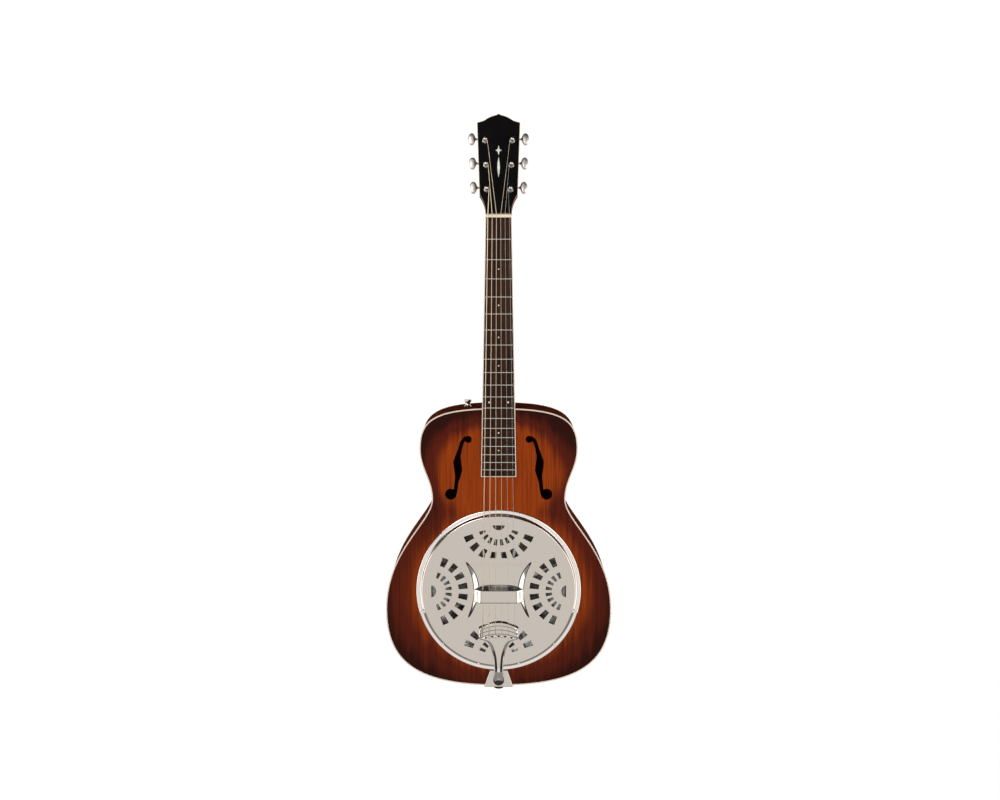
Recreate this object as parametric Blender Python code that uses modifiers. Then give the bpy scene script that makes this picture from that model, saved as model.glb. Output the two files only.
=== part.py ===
"""Resonator guitar: a hollow wooden body with a spun cone under a pressed metal coverplate,
a bound neck with a tilted headstock, six strings and six open-geared tuning machines.

Metres, +Z up along the neck, front towards -Y. The origin lies on the centre line at the nut,
in the plane of the body's top face, where a hanger's yoke holds the neck under the headstock.
"""
import bmesh
import bpy
from math import atan2, cos, hypot, pi, radians, sin, sqrt
from mathutils import Matrix, Vector

# Clearances
GAP = 0.0003
RUNNING_GAP = 0.0004
CUT_REACH = 0.04

# Strings and scale
SCALE_LENGTH = 0.645
STRING_DIAMETERS = (0.00135, 0.00107, 0.00081, 0.00061, 0.00041, 0.00033)
STRING_COUNT = len(STRING_DIAMETERS)
NUT_SPREAD = 0.036
SADDLE_SPREAD = 0.055
TAIL_SPREAD = 0.056
SADDLE_SETBACK = 0.003

# Body
TAIL_ROOM = 0.0290
UPPER_BOUT_WIDTH = 0.273
WAIST_WIDTH = 0.2316
LOWER_BOUT_WIDTH = 0.3948
UPPER_BOUT_DROP = 0.071
WAIST_DROP = 0.159
LOWER_BOUT_DROP = 0.357
TOP_HANDLE = 0.112
SHOULDER_HANDLE = 0.051
UPPER_WAIST_HANDLE = 0.035
LOWER_WAIST_HANDLE = 0.040
HIP_HANDLE = 0.108
CHEEK_HANDLE = 0.095
TAIL_HANDLE = 0.143
NECK_END_DEPTH = 0.088
TAIL_END_DEPTH = 0.100
TOP_THICKNESS = 0.004
BACK_THICKNESS = 0.004
SIDE_THICKNESS = 0.004
BINDING_WIDTH = 0.002
NECK_JOINT_FRET = 12
NECK_JOINT_SETBACK = 0.0015
BLOCK_WIDTH = 0.070
NECK_BLOCK_LENGTH = 0.045
TAIL_BLOCK_LENGTH = 0.020

# Sound holes: distances from the centre line and from the body's upper edge
UPPER_EYE_OFFSET = 0.0525
UPPER_EYE_DROP = 0.054
UPPER_EYE_RADIUS = 0.0062
LOWER_EYE_OFFSET = 0.0830
LOWER_EYE_DROP = 0.150
LOWER_EYE_RADIUS = 0.0098
STEM_HALF_WIDTH = 0.0033
STEM_NOTCH = 0.0052
STEM_UPPER_BEND = 0.021
STEM_LOWER_BEND = (0.0088, 0.014)
STEM_STEPS = 14

# Resonator
COVER_LAP = 0.0125
SOUNDWELL_WALL = 0.009
SOUNDWELL_DEPTH = 0.056
LEDGE_DROP = 0.014
LEDGE_THICKNESS = 0.004
LEDGE_WIDTH = 0.0095
CONE_THICKNESS = 0.0008
CONE_RIM_CLEARANCE = 0.002
CONE_RIM_WIDTH = 0.009
CONE_DEPTH = 0.032
CONE_VALLEY_RADIUS = 0.050
CONE_CENTRE_RISE = 0.015
SPIDER_HUB_RADIUS = 0.015
SPIDER_HUB_HEIGHT = 0.008
SPIDER_LEG_WIDTH = 0.006
SPIDER_LEG_HEIGHT = 0.004
SPIDER_LEGS = 8
SADDLE_WIDTH = 0.062
SADDLE_THICKNESS = 0.003
SADDLE_HEIGHT = 0.0132
TENSION_SCREW_RADIUS = 0.002

# Coverplate
COVER_RADIUS = 0.1435
COVER_THICKNESS = 0.0012
COVER_FLANGE_WIDTH = 0.006
COVER_STEP_WIDTH = 0.005
COVER_RISE = 0.0045
FAN_DISTANCE = 0.1175
FAN_SLOTS = 8
FAN_PITCH = radians(19)
FAN_SLOT_ANGLE = radians(10)
FAN_INNER_ROW = (0.0250, 0.0360)
FAN_OUTER_ROW = (0.0480, 0.0640)
HALF_MOON_RADIUS = 0.0105
HALF_MOON_DEPTH = 0.0085
SLOT_LENGTH = 0.089
SLOT_UPPER = 0.0085
SLOT_LOWER = 0.013
SLOT_LOWER_SHARE = 0.86
HUMP_DISH_RADIUS = 0.0725
HUMP_WALL = 0.013
HUMP_HALF_LENGTH = 0.051
HUMP_HEIGHT = 0.0040
HUMP_FLAT_SHARE = 0.75
HAND_REST_UPPER = 0.0015
HAND_REST_LOWER = 0.0175
HAND_REST_HALF_SPAN = 0.0415
HAND_REST_SHOULDER = 0.0340
HAND_REST_THICKNESS = 0.0018
HAND_REST_HEADROOM = 0.0008

# Tailpiece
TAIL_HEAD_TOP = 0.055
TAIL_HEAD_LENGTH = 0.030
TAIL_HEAD_WIDTH = 0.069
TAIL_HEAD_ARCH = 0.010
TAIL_WAIST_WIDTH = 0.019
TAIL_FOOT_WIDTH = 0.024
TAIL_THICKNESS = 0.0022
TAIL_HEAD_HEIGHT = 0.0095
TAIL_NECK_RUN = 0.008
TAIL_RIM_MARGIN = 0.006
TAIL_FOOT_MARGIN = 0.012
BRACKET_UPPER_WIDTH = 0.030
BRACKET_LOWER_WIDTH = 0.051
BRACKET_THICKNESS = 0.0018
BRACKET_FLAP = 0.044
END_BUTTON_DROP = 0.022
END_BUTTON_RADIUS = 0.009
END_BUTTON_LENGTH = 0.009
STRAP_BUTTON_RADIUS = 0.007
STRAP_BUTTON_LENGTH = 0.012
STRAP_BUTTON_OFFSET = 0.054

# Neck and fretboard
NUT_WIDTH = 0.0445
NUT_THICKNESS = 0.005
NUT_HEIGHT = 0.0076
BOARD_THICKNESS = 0.006
BOARD_OVERHANG = 0.0129
BOARD_END_WIDTH = 0.0610
BOARD_BINDING = 0.0015
FRET_COUNT = 19
FRET_FOOT = 0.0022
FRET_CROWN = 0.0011
FRET_HEIGHT = 0.0011
NECK_DEPTH = 0.0155
NECK_HEEL_START = 0.262
NECK_HEEL_DEPTH = 0.072
NECK_FULLNESS = 0.7
TRUSS_ROD_RADIUS = 0.0029
TRUSS_ROD_START = 0.012

# Headstock
HEAD_TILT = radians(14)
HEAD_START = 0.006
HEAD_LENGTH = 0.1750
HEAD_TOP_HALF = 0.0366
HEAD_LOW_HALF = 0.0322
HEAD_FLARE_END = 0.033
HEAD_CORNER_DROP = 0.0160
HEAD_CROWN = ((0.96, 0.0152), (0.70, 0.0122), (0.48, 0.0072), (0.30, 0.0042), (0.12, 0.0022))
HEAD_WOOD = 0.013
HEAD_OVERLAP = 0.0005
VENEER_THICKNESS = 0.0015

# Tuning machines, along and across the headstock's face
POST_STATIONS = (0.042, 0.0847, 0.1275)
POST_EDGE_DISTANCE = 0.0126
POST_RADIUS = 0.0030
POST_WAIST_RADIUS = 0.0024
POST_HEIGHT = 0.0125
POST_COLLAR_RADIUS = 0.0042
WINDING_HEIGHT = 0.0050
WINDING_TURNS = 2.5
WINDING_STEPS = 10
WINDING_SELF_GAP = 0.0005
GEAR_TEETH = 16
GEAR_PITCH_RADIUS = 0.0065
GEAR_THICKNESS = 0.0022
GEAR_TOOTH_DEPTH = 0.0016
WORM_PITCH_RADIUS = 0.0025
WORM_ROOT_RADIUS = 0.0016
WORM_CREST_RADIUS = 0.0031
WORM_THREAD_LENGTH = 0.0068
WORM_SIDES = 8
SHAFT_RADIUS = 0.0015
PLATE_THICKNESS = 0.0012
PLATE_WIDTH = 0.0150
PLATE_LENGTH = 0.0330
LUG_THICKNESS = 0.0018
LUG_BELOW = 0.0024
LUG_ABOVE = 0.0036
LUG_COVER = 0.0018
SHAFT_END = 0.0006
BUTTON_LENGTH = 0.0125
BUTTON_HEIGHT = 0.0205
BUTTON_DEPTH = 0.0090
BUTTON_STANDOFF = 0.0016

# Places worked out from the driving dimensions
BODY_TOP_Z = -SCALE_LENGTH * (1 - 2 ** (-NECK_JOINT_FRET / 12)) - NECK_JOINT_SETBACK
CONE_Z = -SCALE_LENGTH
CONE_OPENING_RADIUS = COVER_RADIUS - COVER_LAP
BODY_TAIL_Z = CONE_Z - COVER_RADIUS - TAIL_ROOM
BODY_LENGTH = BODY_TOP_Z - BODY_TAIL_Z
BOARD_LENGTH = SCALE_LENGTH * (1 - 2 ** (-FRET_COUNT / 12)) + BOARD_OVERHANG
SADDLE_Z = CONE_Z - SADDLE_SETBACK
COVER_TOP = GAP + COVER_THICKNESS + COVER_RISE
HEAD_ORIGIN = Vector((0, 0, HEAD_START))
HEAD_TURN = Matrix.Rotation(-HEAD_TILT, 4, "X")
HEAD_FRAME = Matrix.Translation(HEAD_ORIGIN) @ HEAD_TURN
HEAD_BACK = VENEER_THICKNESS + GAP + HEAD_WOOD
WORM_LEAD = 2 * pi * GEAR_PITCH_RADIUS / GEAR_TEETH
WORM_RISE = GEAR_PITCH_RADIUS + WORM_PITCH_RADIUS
GEAR_MIDDLE = HEAD_BACK + GAP + PLATE_THICKNESS + 2 * GAP + WORM_CREST_RADIUS
FACING_FRONT = Matrix.Rotation(radians(90), 4, "X")

MATERIALS = {
    "mahogany_sunburst": ((0.23, 0.06, 0.022), 0.25, 0.0),
    "mahogany_dark": ((0.085, 0.022, 0.012), 0.28, 0.0),
    "cream_binding": ((0.74, 0.62, 0.42), 0.4, 0.0),
    "bare_wood": ((0.42, 0.27, 0.14), 0.7, 0.0),
    "spun_aluminium": ((0.78, 0.78, 0.76), 0.35, 1.0),
    "polished_chrome": ((0.82, 0.82, 0.81), 0.08, 1.0),
    "nickel": ((0.66, 0.64, 0.60), 0.25, 1.0),
    "black_lacquer": ((0.012, 0.011, 0.012), 0.12, 0.0),
    "rosewood": ((0.060, 0.028, 0.017), 0.5, 0.0),
    "bone": ((0.80, 0.72, 0.55), 0.45, 0.0),
    "steel": ((0.45, 0.45, 0.46), 0.4, 1.0),
    "plain_steel": ((0.70, 0.70, 0.69), 0.22, 1.0),
    "wound_bronze": ((0.62, 0.42, 0.22), 0.35, 1.0),
    "black_metal": ((0.02, 0.02, 0.022), 0.35, 0.6),
}


def clear_scene():
    for item in list(bpy.data.objects):
        bpy.data.objects.remove(item, do_unlink=True)


def new_collection(name):
    group = bpy.data.collections.new(name)
    bpy.context.scene.collection.children.link(group)
    return group


def material(name):
    made = bpy.data.materials.get(name)
    if made:
        return made
    colour, roughness, metallic = MATERIALS[name]
    made = bpy.data.materials.new(name)
    made.use_nodes = True
    shader = made.node_tree.nodes["Principled BSDF"]
    shader.inputs["Base Color"].default_value = (*colour, 1)
    shader.inputs["Roughness"].default_value = roughness
    shader.inputs["Metallic"].default_value = metallic
    return made


def add_part(name, mesh, finish, parent=None, matrix=None):
    """A named sub-part, placed by its parent and its own matrix."""
    part = bpy.data.objects.new(name, mesh)
    mesh.materials.clear()
    mesh.materials.append(material(finish))
    PARTS.objects.link(part)
    part.parent = parent
    if matrix is not None:
        part.matrix_local = matrix
    return part


def add_cutter(name, mesh):
    cutter = bpy.data.objects.new(name, mesh)
    CUTTERS.objects.link(cutter)
    cutter.hide_render = True
    cutter.display_type = "WIRE"
    return cutter


def boolean(part, tool, operation):
    step = part.modifiers.new(operation.title(), "BOOLEAN")
    step.operation = operation
    step.solver = "EXACT"
    step.object = tool
    return step


def baked(source, matrix=None):
    """The evaluated mesh of an object, welded and turned outwards; the object is removed."""
    bpy.context.view_layer.update()
    evaluated = source.evaluated_get(bpy.context.evaluated_depsgraph_get())
    mesh = bpy.data.meshes.new_from_object(evaluated)
    body = bmesh.new()
    body.from_mesh(mesh)
    if matrix is not None:
        body.transform(matrix)
    bmesh.ops.remove_doubles(body, verts=body.verts, dist=1e-6)
    bmesh.ops.recalc_face_normals(body, faces=body.faces)
    body.to_mesh(mesh)
    body.free()
    bpy.data.objects.remove(source, do_unlink=True)
    return mesh


def smooth(mesh, angle=30):
    mesh.shade_smooth()
    mesh.set_sharp_from_angle(angle=radians(angle))
    return mesh


def flat_plate(outlines, front, back):
    """Closed outlines of (x, z) points, the first outside and the rest holes, between two depths."""
    curve = bpy.data.curves.new("outline", "CURVE")
    curve.dimensions = "2D"
    curve.fill_mode = "BOTH"
    curve.extrude = (back - front) / 2
    for points in outlines:
        spline = curve.splines.new("POLY")
        spline.points.add(len(points) - 1)
        for spot, (x, z) in zip(spline.points, points):
            spot.co = (x, z, 0, 1)
        spline.use_cyclic_u = True
    flat = bpy.data.objects.new("outline", curve)
    CUTTERS.objects.link(flat)
    return baked(flat, Matrix.Translation((0, (front + back) / 2, 0)) @ FACING_FRONT)


def turned(profile, steps, closed=False, matrix=FACING_FRONT):
    """A profile of (radius, height) points turned about the local Z axis, which matrix then places."""
    mesh = bpy.data.meshes.new("profile")
    body = bmesh.new()
    spots = [body.verts.new((r, 0, h)) for r, h in profile]
    for start, end in zip(spots, spots[1:]):
        body.edges.new((start, end))
    if closed:
        body.edges.new((spots[-1], spots[0]))
    body.to_mesh(mesh)
    body.free()
    lathe = bpy.data.objects.new("profile", mesh)
    CUTTERS.objects.link(lathe)
    screw = lathe.modifiers.new("Screw", "SCREW")
    screw.axis = "Z"
    screw.steps = steps
    screw.render_steps = steps
    screw.use_merge_vertices = True
    screw.merge_threshold = 1e-6
    return smooth(baked(lathe, matrix))


def loft(sections):
    """A closed solid through rings of points that all have the same count."""
    mesh = bpy.data.meshes.new("loft")
    body = bmesh.new()
    rings = [[body.verts.new(point) for point in section] for section in sections]
    count = len(rings[0])
    for low, high in zip(rings, rings[1:]):
        for i in range(count):
            j = (i + 1) % count
            body.faces.new((low[i], low[j], high[j], high[i]))
    body.faces.new(rings[0])
    body.faces.new(rings[-1])
    bmesh.ops.recalc_face_normals(body, faces=body.faces)
    body.to_mesh(mesh)
    body.free()
    return smooth(mesh)


def sheet(columns, rows, place, thickness):
    """A bent sheet: a grid whose (u, v) in -1..1 and 0..1 are placed by a function, then thickened."""
    mesh = bpy.data.meshes.new("sheet")
    body = bmesh.new()
    bmesh.ops.create_grid(body, x_segments=columns, y_segments=rows, size=1)
    for spot in body.verts:
        spot.co = place(spot.co.x, (spot.co.y + 1) / 2)
    bmesh.ops.recalc_face_normals(body, faces=body.faces)
    if sum((face.normal.y for face in body.faces)) > 0:
        bmesh.ops.reverse_faces(body, faces=body.faces)
    body.to_mesh(mesh)
    body.free()
    flat = bpy.data.objects.new("sheet", mesh)
    CUTTERS.objects.link(flat)
    solid = flat.modifiers.new("Solidify", "SOLIDIFY")
    solid.thickness = thickness
    solid.offset = 1
    return smooth(baked(flat))


def box(low, high):
    mesh = bpy.data.meshes.new("box")
    body = bmesh.new()
    bmesh.ops.create_cube(body, size=1)
    middle = (Vector(low) + Vector(high)) / 2
    spans = Vector(high) - Vector(low)
    bmesh.ops.scale(body, vec=spans, verts=body.verts)
    bmesh.ops.translate(body, vec=middle, verts=body.verts)
    body.to_mesh(mesh)
    body.free()
    return mesh


def rod(radius, start, end, sides=16):
    """A cylinder between two points."""
    mesh = bpy.data.meshes.new("rod")
    body = bmesh.new()
    along = Vector(end) - Vector(start)
    turn = Vector((0, 0, 1)).rotation_difference(along).to_matrix().to_4x4()
    place = Matrix.Translation((Vector(start) + Vector(end)) / 2) @ turn
    bmesh.ops.create_cone(body, cap_ends=True, segments=sides, radius1=radius, radius2=radius,
                          depth=along.length, matrix=place)
    body.to_mesh(mesh)
    body.free()
    return smooth(mesh)


def shifted(mesh, move):
    for spot in mesh.vertices:
        spot.co = move(spot.co)
    return mesh


def circle(radius, x, z, count):
    return [(x + radius * cos(2 * pi * i / count), z + radius * sin(2 * pi * i / count))
            for i in range(count)]


def bezier(start, leave, arrive, end, count):
    """Points along one cubic stretch, without its last point."""
    spots = []
    for i in range(count):
        t = i / count
        shares = ((1 - t) ** 3, 3 * t * (1 - t) ** 2, 3 * t * t * (1 - t), t ** 3)
        spots.append(tuple(sum(w * p[k] for w, p in zip(shares, (start, leave, arrive, end)))
                           for k in (0, 1)))
    return spots


def body_outline(inset=0.0):
    """The body's outline seen from the front, drawn in by an inset."""
    upper = (UPPER_BOUT_WIDTH / 2, BODY_TOP_Z - UPPER_BOUT_DROP)
    waist = (WAIST_WIDTH / 2, BODY_TOP_Z - WAIST_DROP)
    lower = (LOWER_BOUT_WIDTH / 2, BODY_TOP_Z - LOWER_BOUT_DROP)
    top = (0, BODY_TOP_Z)
    tail = (0, BODY_TAIL_Z)
    half = bezier(top, (TOP_HANDLE, BODY_TOP_Z), (upper[0], upper[1] + SHOULDER_HANDLE), upper, 8)
    half += bezier(upper, (upper[0], upper[1] - UPPER_WAIST_HANDLE),
                   (waist[0], waist[1] + UPPER_WAIST_HANDLE), waist, 6)
    half += bezier(waist, (waist[0], waist[1] - LOWER_WAIST_HANDLE),
                   (lower[0], lower[1] + HIP_HANDLE), lower, 8)
    half += bezier(lower, (lower[0], lower[1] - CHEEK_HANDLE), (TAIL_HANDLE, BODY_TAIL_Z), tail, 9)
    half.append(tail)
    loop = half + [(-x, z) for x, z in reversed(half[1:-1])]
    inside = []
    for i, (x, z) in enumerate(loop):
        before, after = loop[i - 1], loop[(i + 1) % len(loop)]
        run = hypot(after[0] - before[0], after[1] - before[1])
        inside.append((x + inset * (after[1] - before[1]) / run, z - inset * (after[0] - before[0]) / run))
    return inside


def edge_drop(half_width, inset, at_tail):
    """The outline's height at a distance from the centre line, at the neck end or at the tail."""
    loop = [point for point in body_outline(inset) if point[0] >= 0]
    middle = BODY_TOP_Z - BODY_LENGTH / 2
    side = [p for p in loop if (p[1] < middle) == at_tail]
    side.sort()
    for (x0, z0), (x1, z1) in zip(side, side[1:]):
        if x1 >= half_width:
            return z0 + (z1 - z0) * (half_width - x0) / (x1 - x0)
    return side[-1][1]


def back_face(z):
    """The depth of the body's back, which tapers towards the neck."""
    share = (BODY_TOP_Z - z) / BODY_LENGTH
    return NECK_END_DEPTH + (TAIL_END_DEPTH - NECK_END_DEPTH) * share


def to_back(mesh, depth_below_back):
    """Moves a flat piece made at depth zero onto the tapering back."""
    return shifted(mesh, lambda p: Vector((p.x, p.y + back_face(p.z) - depth_below_back, p.z)))


def between_top_and_back(mesh):
    """Stretches the rear points of a piece to the inner face of the back."""
    middle = (TOP_THICKNESS + NECK_END_DEPTH) / 2

    def move(p):
        rear = back_face(p.z) - BACK_THICKNESS - GAP
        return Vector((p.x, rear if p.y > middle else p.y, p.z))
    return shifted(mesh, move)


def eye_centres(side):
    return ((side * UPPER_EYE_OFFSET, BODY_TOP_Z - UPPER_EYE_DROP),
            (side * LOWER_EYE_OFFSET, BODY_TOP_Z - LOWER_EYE_DROP))


def sound_hole_stem(side):
    """The S-shaped stem between the eyes, widened to a notch on each edge near its middle."""
    (ux, uz), (lx, lz) = eye_centres(side)
    start = (ux + side * UPPER_EYE_RADIUS * 0.2, uz + UPPER_EYE_RADIUS * 0.45)
    end = (lx - side * LOWER_EYE_RADIUS * 0.55, lz - LOWER_EYE_RADIUS * 0.35)
    leave = (start[0] + side * STEM_UPPER_BEND, start[1])
    arrive = (end[0] - side * STEM_LOWER_BEND[0], end[1] + STEM_LOWER_BEND[1])
    line = bezier(start, leave, arrive, end, STEM_STEPS)
    line.append(end)
    outer, inner = [], []
    for i, (x, z) in enumerate(line):
        before, after = line[max(i - 1, 0)], line[min(i + 1, len(line) - 1)]
        run = hypot(after[0] - before[0], after[1] - before[1])
        across = ((after[1] - before[1]) / run, -(after[0] - before[0]) / run)
        share = i / STEM_STEPS
        out_width = STEM_HALF_WIDTH + STEM_NOTCH * max(0, 1 - abs(share - 0.48) * 5)
        in_width = STEM_HALF_WIDTH + STEM_NOTCH * max(0, 1 - abs(share - 0.57) * 5)
        outer.append((x - side * across[0] * out_width, z - side * across[1] * out_width))
        inner.append((x + side * across[0] * in_width, z + side * across[1] * in_width))
    return outer + inner[::-1]


def make_body():
    seat = BINDING_WIDTH + GAP
    opening = circle(CONE_OPENING_RADIUS, 0, CONE_Z, 56)
    top = add_part("body_top", flat_plate([body_outline(seat), opening], 0, TOP_THICKNESS),
                   "mahogany_sunburst")
    for side, hand in ((-1, "left"), (1, "right")):
        stem = flat_plate([sound_hole_stem(side)], -CUT_REACH, CUT_REACH)
        boolean(top, add_cutter(f"{hand}_stem_cutter", stem), "DIFFERENCE")
        radii = (UPPER_EYE_RADIUS, LOWER_EYE_RADIUS)
        for (x, z), radius, eye in zip(eye_centres(side), radii, ("upper", "lower")):
            hole = rod(radius, (x, -CUT_REACH, z), (x, CUT_REACH, z), 18)
            boolean(top, add_cutter(f"{hand}_{eye}_eye_cutter", hole), "DIFFERENCE")
    back = to_back(flat_plate([body_outline(seat)], 0, BACK_THICKNESS), BACK_THICKNESS)
    add_part("body_back", back, "mahogany_dark")
    ring = [body_outline(), body_outline(SIDE_THICKNESS)]
    sides = flat_plate(ring, TOP_THICKNESS + GAP, NECK_END_DEPTH)
    add_part("body_sides", smooth(between_top_and_back(sides)), "mahogany_dark")
    strip = [body_outline(), body_outline(BINDING_WIDTH)]
    add_part("top_binding", smooth(flat_plate(strip, 0, TOP_THICKNESS)), "cream_binding")
    rear = to_back(flat_plate(strip, 0, BACK_THICKNESS), BACK_THICKNESS)
    add_part("back_binding", smooth(rear), "cream_binding")
    upper = edge_drop(BLOCK_WIDTH / 2, SIDE_THICKNESS + GAP, at_tail=False)
    lower = edge_drop(BLOCK_WIDTH / 2, SIDE_THICKNESS + GAP, at_tail=True)
    for name, low, high in (("neck_block", upper - NECK_BLOCK_LENGTH, upper),
                            ("tail_block", lower, lower + TAIL_BLOCK_LENGTH)):
        block = box((-BLOCK_WIDTH / 2, TOP_THICKNESS + GAP, low), (BLOCK_WIDTH / 2, NECK_END_DEPTH, high))
        add_part(name, between_top_and_back(block), "bare_wood")


def at_cone(depth=0.0):
    """Places a turned piece on the resonator's axis, its height measured towards the front."""
    return Matrix.Translation((0, depth, CONE_Z)) @ FACING_FRONT


def spider_outline(reach):
    """Radiating legs whose edges meet in the valleys between them."""
    half_pitch = pi / SPIDER_LEGS
    half = SPIDER_LEG_WIDTH / 2
    valley = half / sin(half_pitch)
    tip = atan2(half, reach)
    points = []
    for i in range(SPIDER_LEGS):
        middle = 2 * half_pitch * (i + 0.5)
        end = hypot(reach, half)
        for radius, angle in ((valley, -half_pitch), (end, -tip), (end, tip)):
            points.append((radius * cos(middle + angle), CONE_Z + radius * sin(middle + angle)))
    return points


def make_resonator():
    inner = CONE_OPENING_RADIUS
    outer = inner + SOUNDWELL_WALL
    ledge = inner - LEDGE_WIDTH
    upper = -(TOP_THICKNESS + GAP)
    well = [(inner, upper), (outer, upper), (outer, upper - SOUNDWELL_DEPTH),
            (inner, upper - SOUNDWELL_DEPTH), (inner, -LEDGE_DROP - LEDGE_THICKNESS),
            (ledge, -LEDGE_DROP - LEDGE_THICKNESS),
            (ledge, -LEDGE_DROP), (inner, -LEDGE_DROP)]
    add_part("soundwell", turned(well, 28, closed=True, matrix=at_cone()), "bare_wood")
    rim = inner - CONE_RIM_CLEARANCE
    seat = -LEDGE_DROP + GAP
    floor = seat - CONE_DEPTH
    line = [(0, floor + CONE_CENTRE_RISE), (CONE_VALLEY_RADIUS * 0.35, floor + CONE_CENTRE_RISE * 0.9),
            (CONE_VALLEY_RADIUS, floor), (rim - CONE_RIM_WIDTH, seat), (rim, seat)]
    shell = [(r, h + CONE_THICKNESS) for r, h in line] + [(r, h) for r, h in reversed(line)]
    add_part("resonator_cone", turned(shell, 28, matrix=at_cone()), "spun_aluminium")
    foot = seat + CONE_THICKNESS + GAP
    reach = rim - CONE_RIM_WIDTH / 2
    star = flat_plate([spider_outline(reach)], -foot - SPIDER_LEG_HEIGHT, -foot)
    spider = add_part("spider_bridge", star, "spun_aluminium")
    hub = rod(SPIDER_HUB_RADIUS, (0, -foot - SPIDER_LEG_HEIGHT / 2, CONE_Z),
              (0, -foot - SPIDER_HUB_HEIGHT, CONE_Z), 20)
    boolean(spider, add_cutter("spider_hub", hub), "UNION")
    hub_top = -foot - SPIDER_HUB_HEIGHT
    saddle = box((-SADDLE_WIDTH / 2, -SADDLE_HEIGHT, SADDLE_Z - SADDLE_THICKNESS / 2),
                 (SADDLE_WIDTH / 2, hub_top - GAP, SADDLE_Z + SADDLE_THICKNESS / 2))
    add_part("saddle", saddle, "bone")
    centre = -(floor + CONE_CENTRE_RISE + CONE_THICKNESS)
    screw = rod(TENSION_SCREW_RADIUS, (0, -foot + GAP, CONE_Z), (0, centre - GAP, CONE_Z), 12)
    add_part("tension_screw", screw, "steel")


def fan_outlines():
    """Slots and half-moons of the four fans, and the slot over the saddle."""
    outlines = []
    for quarter in range(4):
        out = pi / 2 * quarter
        cx, cz = FAN_DISTANCE * cos(out), CONE_Z + FAN_DISTANCE * sin(out)

        def spot(radius, angle):
            return cx + radius * cos(out + pi + angle), cz + radius * sin(out + pi + angle)
        for i in range(FAN_SLOTS):
            middle = FAN_PITCH * (i - (FAN_SLOTS - 1) / 2)
            low, high = middle - FAN_SLOT_ANGLE / 2, middle + FAN_SLOT_ANGLE / 2
            for near, far in (FAN_INNER_ROW, FAN_OUTER_ROW):
                outlines.append([spot(near, low), spot(far, low), spot(far, high), spot(near, high)])
        steps = 8
        sweep = [pi * i / steps - pi / 2 for i in range(steps + 1)]
        moon = [(HALF_MOON_DEPTH * cos(a), HALF_MOON_RADIUS * sin(a)) for a in sweep]
        outlines.append([spot(hypot(x, y), atan2(y, x)) for x, y in moon])
    return outlines


def saddle_slot():
    """The spindle-shaped slot that the strings and the saddle pass through."""
    half = SLOT_LENGTH / 2
    steps = 8
    shares = [2 * i / steps - 1 for i in range(steps + 1)]
    upper = [(half * share, SLOT_UPPER * (1 - share ** 4)) for share in shares]
    lower = [(half * SLOT_LOWER_SHARE, -SLOT_LOWER), (-half * SLOT_LOWER_SHARE, -SLOT_LOWER)]
    return [(x, CONE_Z + z) for x, z in upper + lower]


def hump_edge(z):
    """Half the width of the raised middle, between the dishes round the side fans."""
    return FAN_DISTANCE - sqrt(HUMP_DISH_RADIUS ** 2 - z * z)


def make_coverplate():
    inner = COVER_RADIUS - COVER_FLANGE_WIDTH - COVER_STEP_WIDTH
    step = COVER_RADIUS - COVER_FLANGE_WIDTH
    line = [(0, COVER_TOP), (inner, COVER_TOP),
            (inner + COVER_STEP_WIDTH * 0.6, COVER_TOP - COVER_RISE * 0.3),
            (step, GAP + COVER_THICKNESS), (COVER_RADIUS, GAP + COVER_THICKNESS)]
    shell = line + [(r, h - COVER_THICKNESS) for r, h in reversed(line)]
    pressed = turned(shell, 48, matrix=at_cone())
    body = bmesh.new()
    body.from_mesh(pressed)
    bmesh.ops.dissolve_limit(body, angle_limit=radians(0.5), verts=body.verts, edges=body.edges)
    body.to_mesh(pressed)
    body.free()
    plate = add_part("coverplate", pressed, "polished_chrome")
    fans = flat_plate(fan_outlines(), -CUT_REACH, CUT_REACH)
    slot = flat_plate([saddle_slot()], -CUT_REACH, CUT_REACH)
    boolean(plate, add_cutter("fan_cutter", fans), "DIFFERENCE")
    slot_cutter = add_cutter("slot_cutter", slot)
    boolean(plate, slot_cutter, "DIFFERENCE")
    base = COVER_TOP + GAP

    def place(u, v):
        z = HUMP_HALF_LENGTH * (2 * v - 1)
        edge = hump_edge(z)
        flat = edge - HUMP_WALL * (1 - (z / HUMP_HALF_LENGTH) ** 2)
        share = min(1.0, abs(u) / HUMP_FLAT_SHARE)
        x = flat * share + (edge - flat) * max(0.0, abs(u) - HUMP_FLAT_SHARE) / (1 - HUMP_FLAT_SHARE)
        lift = 0 if abs(u) > 0.99 else HUMP_HEIGHT * (1 - (z / HUMP_HALF_LENGTH) ** 2)
        return Vector((x if u > 0 else -x, -base - lift, CONE_Z + z))
    rest = add_part("hand_rest", sheet(8, 12, place, COVER_THICKNESS), "polished_chrome")
    boolean(rest, slot_cutter, "DIFFERENCE")
    low = base + COVER_THICKNESS / 2
    high = SADDLE_HEIGHT + GAP + max(STRING_DIAMETERS) + HAND_REST_HEADROOM
    span, shoulder, wall = HAND_REST_HALF_SPAN, HAND_REST_SHOULDER, HAND_REST_THICKNESS
    arch = [(-span - wall, low), (-shoulder - wall / 2, high + wall), (shoulder + wall / 2, high + wall),
            (span + wall, low), (span - wall / 2, low), (shoulder - wall / 2, high),
            (-shoulder + wall / 2, high), (-span + wall / 2, low)]
    strap = flat_plate([arch], -HAND_REST_LOWER, HAND_REST_UPPER)
    strap.transform(Matrix(((1, 0, 0, 0), (0, 0, -1, 0), (0, 1, 0, CONE_Z), (0, 0, 0, 1))))
    boolean(rest, add_cutter("hand_rest_strap", strap), "UNION")


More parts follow.
